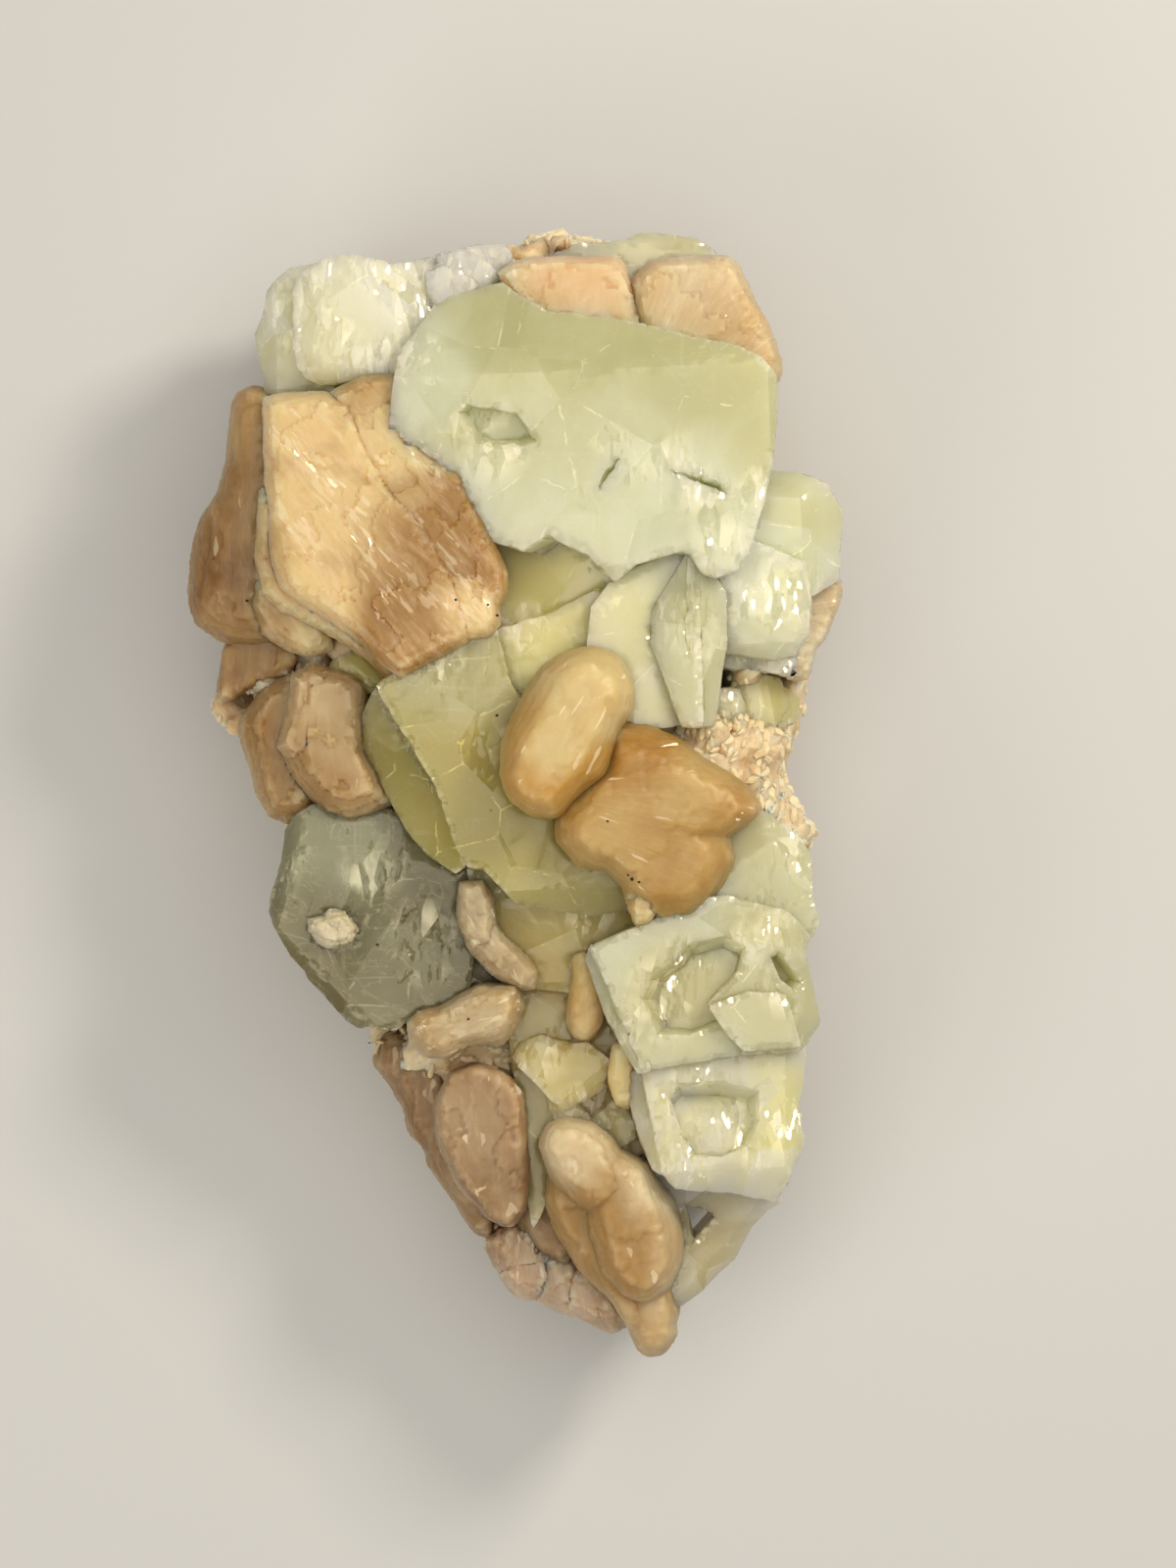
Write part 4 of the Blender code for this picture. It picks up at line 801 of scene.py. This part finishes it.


# The pieces

# Each apophyllite crystal: its colours, how much light its clear and milky places pass, and its places, as
# picture point, height and radius: broken ones, which glint, pale ones, which are partly painted sheen, and
# deep ones, which are partly painted shade
APOPHYLLITES = {
    "apophyllite_upper_block": dict(
        pale="#dbe1cf", deep="#d9dbb4",
        broken=(
            (628, 470, 41, 5), (615, 495, 41, 4), (720, 492, 41, 5), (690, 470, 41, 4), (500, 450, 38, 6),
            (735, 562, 41, 5), (425, 375, 39, 5), (450, 545, 39, 4), (770, 500, 41, 3),
        ),
        light=((700, 545, 41, 14), (470, 530, 39, 9), (420, 380, 40, 8), (560, 560, 40, 9)),
        dark=(
            (530, 335, 38, 9), (600, 345, 38, 10), (680, 360, 38, 9), (745, 395, 40, 8), (778, 450, 42, 6),
        ),
    ),
    # Its near-white colours are partly a painted pearly sheen
    "apophyllite_upper_left": dict(
        pale="#eff3f4", deep="#f0f1c9", shine=0.55,
        broken=(
            (360, 300, 33, 10), (372, 340, 33, 7), (410, 300, 31, 7), (280, 340, 28, 6), (345, 265, 32, 6),
        ),
    ),
    "milky_crystal_top": dict(pale="#f7f7f7", deep="#f7f7ec", broken=((470, 265, 30, 7),)),
    "apophyllite_top_plate": dict(pale="#f7f7dc", deep="#f1eab5"),
    "apophyllite_centre_block": dict(
        pale="#cac8a2", deep="#d8cd83", clear=0.5, milky=0.3, shine=0.4,
        broken=((455, 680, 37, 4), (500, 760, 35, 4)), light=((450, 690, 37, 9), (520, 700, 36, 6)),
        dark=((420, 790, 33, 9), (530, 850, 34, 11), (480, 870, 34, 8)),
    ),
    "apophyllite_lower_right_block": dict(
        pale="#ced4c3", deep="#dddbb4", shine=0.4,
        broken=(
            (675, 1010, 34, 5), (805, 1000, 36, 5), (655, 1040, 34, 5), (770, 950, 36, 5),
            (700, 975, 35, 4), (800, 860, 33, 5),
        ),
        light=((610, 980, 38, 7), (700, 930, 38, 8)), dark=((700, 1000, 33, 7),),
    ),
    "apophyllite_bottom_block": dict(
        clear=0.25, milky=0.1, pale="#d2d6e9", deep="#e7e5a8", shine=0.5,
        broken=((730, 1150, 31, 8), (690, 1160, 31, 6), (800, 1150, 32, 4), (700, 1110, 31, 5)),
    ),
    "apophyllite_right_block": dict(
        pale="#e6efe4", deep="#ebeeca", broken=((780, 640, 34, 10), (760, 665, 34, 6)), shine=0.45,
    ),
    # Its colours are darker, with painted shade, as it lies in the shade of the blocks beside it, and its
    # pale places are a painted sheen on its top face
    "apophyllite_lower_left_block": dict(
        pale="#9c9f89", deep="#837958", clear=0.5, milky=0.3, shine=0.35,
        broken=((370, 880, 30, 6), (340, 865, 30, 5), (430, 960, 29, 6), (300, 900, 28, 5)),
        light=((360, 875, 30, 6), (330, 850, 30, 6)),
    ),
    "apophyllite_spindle": dict(
        clear=0.25, milky=0.1, pale="#dbe0cd", deep="#d7d8b9", broken=((705, 640, 37, 5),), shine=0.25,
    ),
    "apophyllite_middle_plate": dict(
        clear=0.25, milky=0.1, pale="#f0f1dc", deep="#f7f7b4", broken=((645, 710, 34, 4),),
    ),
    "apophyllite_middle_wedge": dict(
        clear=0.25, milky=0.1, pale="#e8deba", deep="#f6f4a6",
        broken=((600, 660, 34, 5), (535, 640, 34, 4)), shine=0.3,
    ),
    # Its colours are lighter, with painted light, as it lies low in the shade of the crystals around it
    "apophyllite_lower_middle": dict(
        pale="#e9eabc", deep="#f5cc75", clear=0.5, milky=0.3, shine=0.4,
        broken=((600, 935, 29, 5), (600, 1140, 27, 5), (545, 1075, 28, 5), (530, 1050, 28, 4)),
    ),
    # Its colours are lighter, with painted light, as it lies low in the shade of the crystals around it
    "apophyllite_small_left": dict(milky=0.1, pale="#f7e083", deep="#f7ea8d", clear=0.3),
    "apophyllite_small_right": dict(
        pale="#f6f1d1", deep="#f7e48c", clear=0.5, broken=((735, 706, 32, 4),), shine=0.7,
    ),
    "apophyllite_bottom_rim": dict(pale="#f7f7f7", deep="#c8bb8a", broken=((640, 1300, 16, 5),)),
}


def dress_apophyllite():
    """The apophyllite crystals, crisp at their edges, each with its own tint and cloudiness."""
    for node, looks in APOPHYLLITES.items():
        looks = dict(looks)
        tree = relief_tree(looks.pop("broken", ()))
        finish = apophyllite("apophyllite, " + node.replace("apophyllite_", "").replace("_", " "), **looks)
        grow(
            node, finish, "apophyllite", tree, crisp=True, swell=0.3, step_height=0.05, step_width=5.0,
            wave_depth=0.2, wave_width=7.0, chip_depth=0.9, break_depth=0.6, break_width=1.5,
        )


# How many times the form of a plump sheaf is smoothed. The others are crisp at their edges
ROUNDING = {
    "stilbite_centre_lobe": 4, "stilbite_centre_bowtie": 2, "stilbite_lower_lump": 2,
    "stilbite_lower_sheaf": 2, "stilbite_left_plate": 2, "stilbite_drop_blade": 2,
}

# Each sheaf: its pivot, the depth and spacing of its ribs, how far its plates stand out at the sides, its
# colours, and its pale places, which are partly painted highlights, its deep places, which are partly
# painted shade, and its glinting places, as picture point, height and radius
SHEAVES = {
    "stilbite_left_sheaf": dict(
        pivot=(-500, -500), ribs=(0.3, 1.2), ledge=0.25, pale="#ddc69b", deep="#a17c4a", shine=0.6,
        light=(
            (300, 420, 36, 7), (330, 520, 36, 8), (325, 620, 34, 7), (390, 450, 37, 6), (480, 630, 35, 5),
            (500, 660, 35, 4),
        ),
        dark=((470, 540, 36, 7), (420, 650, 35, 9), (270, 650, 32, 5), (430, 420, 36, 5)),
        glints=(
            (280, 444, 37, 5), (311, 474, 37, 6), (303, 508, 37, 5), (311, 538, 37, 5), (390, 542, 37, 5),
            (416, 552, 37, 6), (401, 580, 37, 5), (437, 597, 37, 5), (413, 486, 37, 4), (436, 512, 37, 4),
            (379, 602, 37, 4), (473, 612, 37, 4),
        ),
    ),
    # Its colours are darker, with painted shade, as it lies in the shade of the left sheaf
    "stilbite_left_plate": dict(
        pivot=(240, -900), ribs=(0.2, 1.4), ledge=0.25, silk=0.15, pale="#b49669", deep="#7a5530",
        light=((245, 425, 30, 6),),
    ),
    "stilbite_left_bundle": dict(
        pivot=(330, -300), ribs=(0.15, 1.4), ledge=0.3, silk=0.12, pale="#b9a483", deep="#987545",
        light=((345, 730, 30, 7),),
    ),
    "stilbite_top_left": dict(
        pivot=(560, 1200), ribs=(0.2, 1.2), ledge=0.25, pale="#e4d3bb", deep="#d4ae82",
    ),
    "stilbite_top_right": dict(
        pivot=(600, 520), ribs=(0.2, 1.2), ledge=0.25, pale="#cebfa5", deep="#c6a97d",
        light=((720, 265, 33, 6),),
    ),
    "stilbite_right_wedge": dict(pivot=(700, 640), ribs=(0.3, 1.0), pale="#e2d5c1", deep="#a78b67"),
    "stilbite_centre_lobe": dict(
        pivot=(900, 200), ribs=(0.12, 1.6), silk=0.1, pale="#cdbc90", deep="#b8924d",
        light=((610, 710, 40, 8), (570, 760, 40, 5)), dark=((625, 800, 40, 7),),
    ),
    "stilbite_centre_bowtie": dict(
        pivot=(500, 800), ribs=(0.12, 1.6), silk=0.08, pale="#bea672", deep="#a78143",
        light=((700, 800, 38, 6), (620, 870, 37, 7)), dark=((655, 760, 38, 6),),
    ),
    "stilbite_small_cone": dict(pivot=(650, 700), ribs=(0.15, 1.0), pale="#e3be90", deep="#d0a16b"),
    "stilbite_bent_blade": dict(
        pivot=(200, 500), ribs=(0.15, 0.8), ledge=0.2, pale="#b2ae9e", deep="#9a835c", shine=0.12,
    ),
    "stilbite_drop_blade": dict(pivot=(590, 600), ribs=(0.15, 1.0), pale="#cdbda3", deep="#d5b273"),
    "stilbite_rod": dict(
        pivot=(-400, 1400), ribs=(0.25, 0.9), ledge=0.2, pale="#beb29a", deep="#a58a5c", shine=0.12,
    ),
    # Its colours are lighter, with painted light, as it lies in shade between the crystals
    "stilbite_thin_blade": dict(pivot=(630, 500), ribs=(0.2, 0.7), pale="#f7daab", deep="#f1c18c"),
    "stilbite_lower_sheaf": dict(
        pivot=(560, 700), ribs=(0.2, 1.6), ledge=0.2, silk=0.15, pale="#cbbea3", deep="#a68551",
        light=((590, 1160, 30, 6), (680, 1190, 28, 6)), dark=((600, 1260, 26, 8),),
    ),
    # Its colours are darker, with painted shade, as it lies in the shade of the lower sheaf
    "stilbite_lower_lump": dict(
        pivot=(420, 600), ribs=(0.4, 1.2), ledge=0.3, silk=0.2, pale="#a68e72", deep="#866745",
        shine=0.1, light=((480, 1130, 26, 6),),
    ),
    "stilbite_bottom_fans": dict(
        pivot=(520, 1000), ribs=(0.4, 0.8), ledge=0.25, pale="#c4af9f", deep="#89694d",
        shine=0.12, light=((560, 1320, 14, 9),),
    ),
}


def dress_stilbite():
    """The stilbite sheaves and blades, waxy."""
    tree = relief_tree()
    for node, looks in SHEAVES.items():
        looks = dict(looks)
        depth, spacing = looks.pop("ribs")
        ledge = looks.pop("ledge", 0.1)
        name = "stilbite, " + node.split("_", 1)[1].replace("_", " ")
        grow(
            node, stilbite(name, spacing=spacing / 2, **looks),
            "pale_stilbite" if node.endswith(("lump", "fans")) else "stilbite", tree,
            crisp=node not in ROUNDING, pivot=looks["pivot"], melt=ROUNDING.get(node, 0), swell=0.4,
            rib_depth=depth, rib_spacing=spacing, grain_depth=0.12, grain_width=1.1, wave_depth=0.7,
            wave_width=5.0, layer_depth=ledge, layer_width=0.9, chip_depth=1.4,
        )


def feet():
    """The crystals and sheaves as one plain object, for the matrix to rise to."""
    bm = bmesh.new()
    for node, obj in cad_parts.items():
        if node != "druse_matrix":
            bm.from_mesh(obj.data)
    return built("feet", bm)


def small_crystal():
    """A small blunt blade, one unit wide, for the druse to repeat."""
    bm = bmesh.new()
    for height, radius in ((-0.7, 0.4), (0.0, 0.5), (0.2, 0.3)):
        for side in range(6):
            turn = 2 * math.pi * side / 6
            bm.verts.new((radius * math.cos(turn), radius * 0.4 * math.sin(turn), height))
    bmesh.ops.convex_hull(bm, input=bm.verts)
    return built("small crystal", bm)


# Where the matrix stands up between crystals
MOUNDS = (
    (290, 690, 24, 6), (300, 770, 23, 5), (262, 655, 24, 5), (420, 640, 26, 4), (735, 760, 29, 8),
    (480, 1070, 22, 6), (420, 1080, 21, 8), (380, 1120, 19, 8), (400, 1180, 17, 7), (450, 1240, 17, 7),
    (560, 1240, 20, 5), (500, 1280, 16, 6), (575, 1130, 22, 4), (590, 1330, 13, 5), (380, 1040, 20, 6),
    (520, 870, 24, 4), (590, 250, 26, 5), (520, 262, 25, 5), (345, 668, 28, 4), (400, 668, 28, 4),
    (768, 688, 29, 4), (475, 885, 24, 3),
)

# Where the druse shows from above
DRUSE_PLACES = (
    (740, 770, 26, 9), (700, 745, 26, 5), (780, 740, 24, 6), (660, 735, 28, 3), (770, 810, 24, 5),
    (490, 1075, 24, 6), (300, 1010, 18, 6), (330, 1060, 20, 7), (350, 1130, 16, 6),
)


def dress_matrix():
    """The matrix, its small crystals, and the white rosette."""
    white = druse("calcite, white sugary", "#d8d3c4", "#bab29a", grain=0.5, shine=0.2, glow=1.0)
    grow(
        "white_rosette", white, "calcite", relief_tree(), ROSETTE_SPACING, swell=0.16, grain_depth=0.5,
        grain_width=0.8, wave_depth=0.6, wave_width=1.5,
    )
    pink = druse("stilbite druse, pinkish white", "#f3e2cb", "#d9bc97")
    obj = skin_of("druse_matrix", MATRIX_SPACING)
    modifier = obj.modifiers.new("relief", "NODES")
    modifier.node_group = matrix_tree(MOUNDS)
    crystals = feet()
    values = {
        "Grain Depth": 1.0 * MM, "Grain Width": 1.8 * MM, "Wave Depth": 1.6 * MM, "Wave Width": 5.0 * MM,
        "Reach": 2.6 * MM, "Overlap": 0.35 * MM, "Crystals": crystals,
        "Crisp Angle": math.radians(SOFT_ANGLE), "Finish": pink,
    }
    given_to(modifier, values)
    matrix = finished(obj, "druse_matrix_surface")
    placed(matrix, "druse_matrix")
    bpy.data.objects.remove(crystals)

    pattern = small_crystal()
    strewn = linked("strewn", matrix.data.copy())
    modifier = strewn.modifiers.new("druse", "NODES")
    modifier.node_group = druse_tree(DRUSE_PLACES)
    blades = druse("stilbite, small blades", "#f7ecd6", "#efd9b8", glow=0.4)
    values = {
        "Thick": 0.45 / MM ** 2, "Thin": 0.35 / MM ** 2, "Small": 0.8 * MM, "Large": 2.6 * MM, "Seed": 7,
        "Crystal": pattern, "Finish": blades,
    }
    given_to(modifier, values)
    placed(finished(strewn, "druse_crystals"))
    bpy.data.objects.remove(pattern)


# The radii of the smallest and the largest grain of dust, and the grains as picture points
SMALLEST_DUST = 0.13 * MM
LARGEST_DUST = 0.22 * MM
DUST = (
    (218, 570), (252, 613), (465, 612), (498, 617), (507, 628), (507, 730), (292, 780), (297, 790),
    (385, 964), (478, 1040), (641, 893), (645, 897), (652, 900), (620, 838),
)


def dress_dust():
    """The grains of dust, each on the surface that the viewer sees there."""
    bpy.context.view_layer.update()
    scene = bpy.context.scene
    depsgraph = bpy.context.evaluated_depsgraph_get()
    bm = bmesh.new()
    for number, (px, py) in enumerate(DUST):
        way = (picture(px, py) - eye()).normalized()
        hit, place = scene.ray_cast(depsgraph, eye(), way)[:2]
        if hit:
            radius = SMALLEST_DUST + (LARGEST_DUST - SMALLEST_DUST) * (number * 5 % 7) / 6
            grain = bmesh.ops.create_icosphere(bm, subdivisions=1, radius=radius)["verts"]
            for vert in grain:
                vert.co = place + vert.co * Vector((1.0, 0.7 + 0.1 * (number % 4), 0.8))
    specks = built("dust_specks", bm)
    specks.data.materials.append(dust())
    placed(specks)


# The studio

def studio():
    """The camera, soft lights and a pale floor."""
    camera = linked("camera", bpy.data.cameras.new("camera"))
    camera.location = eye()
    camera.data.sensor_fit = "VERTICAL"
    camera.data.sensor_height = 36
    camera.data.lens = 36 * (EYE_HEIGHT - FOCUS_HEIGHT) / PICTURE_TALL
    camera.data.clip_start = 10 * MM
    bpy.context.scene.camera = camera
    for name, place, size, power, tint in (
        ("key", (0.24, 0.20, 0.34), 0.10, 1.0, "#fff1d2"),
        ("fill", (-0.26, -0.22, 0.36), 0.26, 0.6, "#fff4da"),
        ("panel", (0.06, 0.08, 0.82), 0.72, 3.4, "#fff4da"),
    ):
        lamp = linked(name, bpy.data.lights.new(name, "AREA"))
        lamp.data.size = size
        lamp.data.energy = power
        lamp.data.color = colour(tint)[:3]
        lamp.location = place
        aim = Vector((0, 0, 0.02)) - lamp.location
        lamp.rotation_euler = aim.to_track_quat("-Z", "Y").to_euler()
    world = bpy.data.worlds.new("soft room")
    world.use_nodes = True
    world.node_tree.nodes["Background"].inputs["Color"].default_value = colour("#fff4dc")
    world.node_tree.nodes["Background"].inputs["Strength"].default_value = 0.24
    bpy.context.scene.world = world
    bpy.context.scene.view_settings.view_transform = "Standard"
    mesh = bpy.data.meshes.new("floor")
    low = cad_box[0][2] - FLOOR_GAP
    corners = ((-1, -1), (1, -1), (1, 1), (-1, 1))
    mesh.from_pydata([(x * FLOOR_REACH, y * FLOOR_REACH, low) for x, y in corners], [], [(0, 1, 2, 3)])
    floor = linked("floor", mesh)
    card, tree = material("pale matt card")[:2]
    shader = add(tree, "ShaderNodeBsdfPrincipled", {"Base Color": colour("#cbd0de"), "Roughness": 0.7})
    add(tree, "ShaderNodeOutputMaterial", {"Surface": shader})
    mesh.materials.append(card)


def main():
    dress_apophyllite()
    dress_stilbite()
    dress_matrix()
    dress_dust()
    studio()
    bpy.context.view_layer.update()


main()
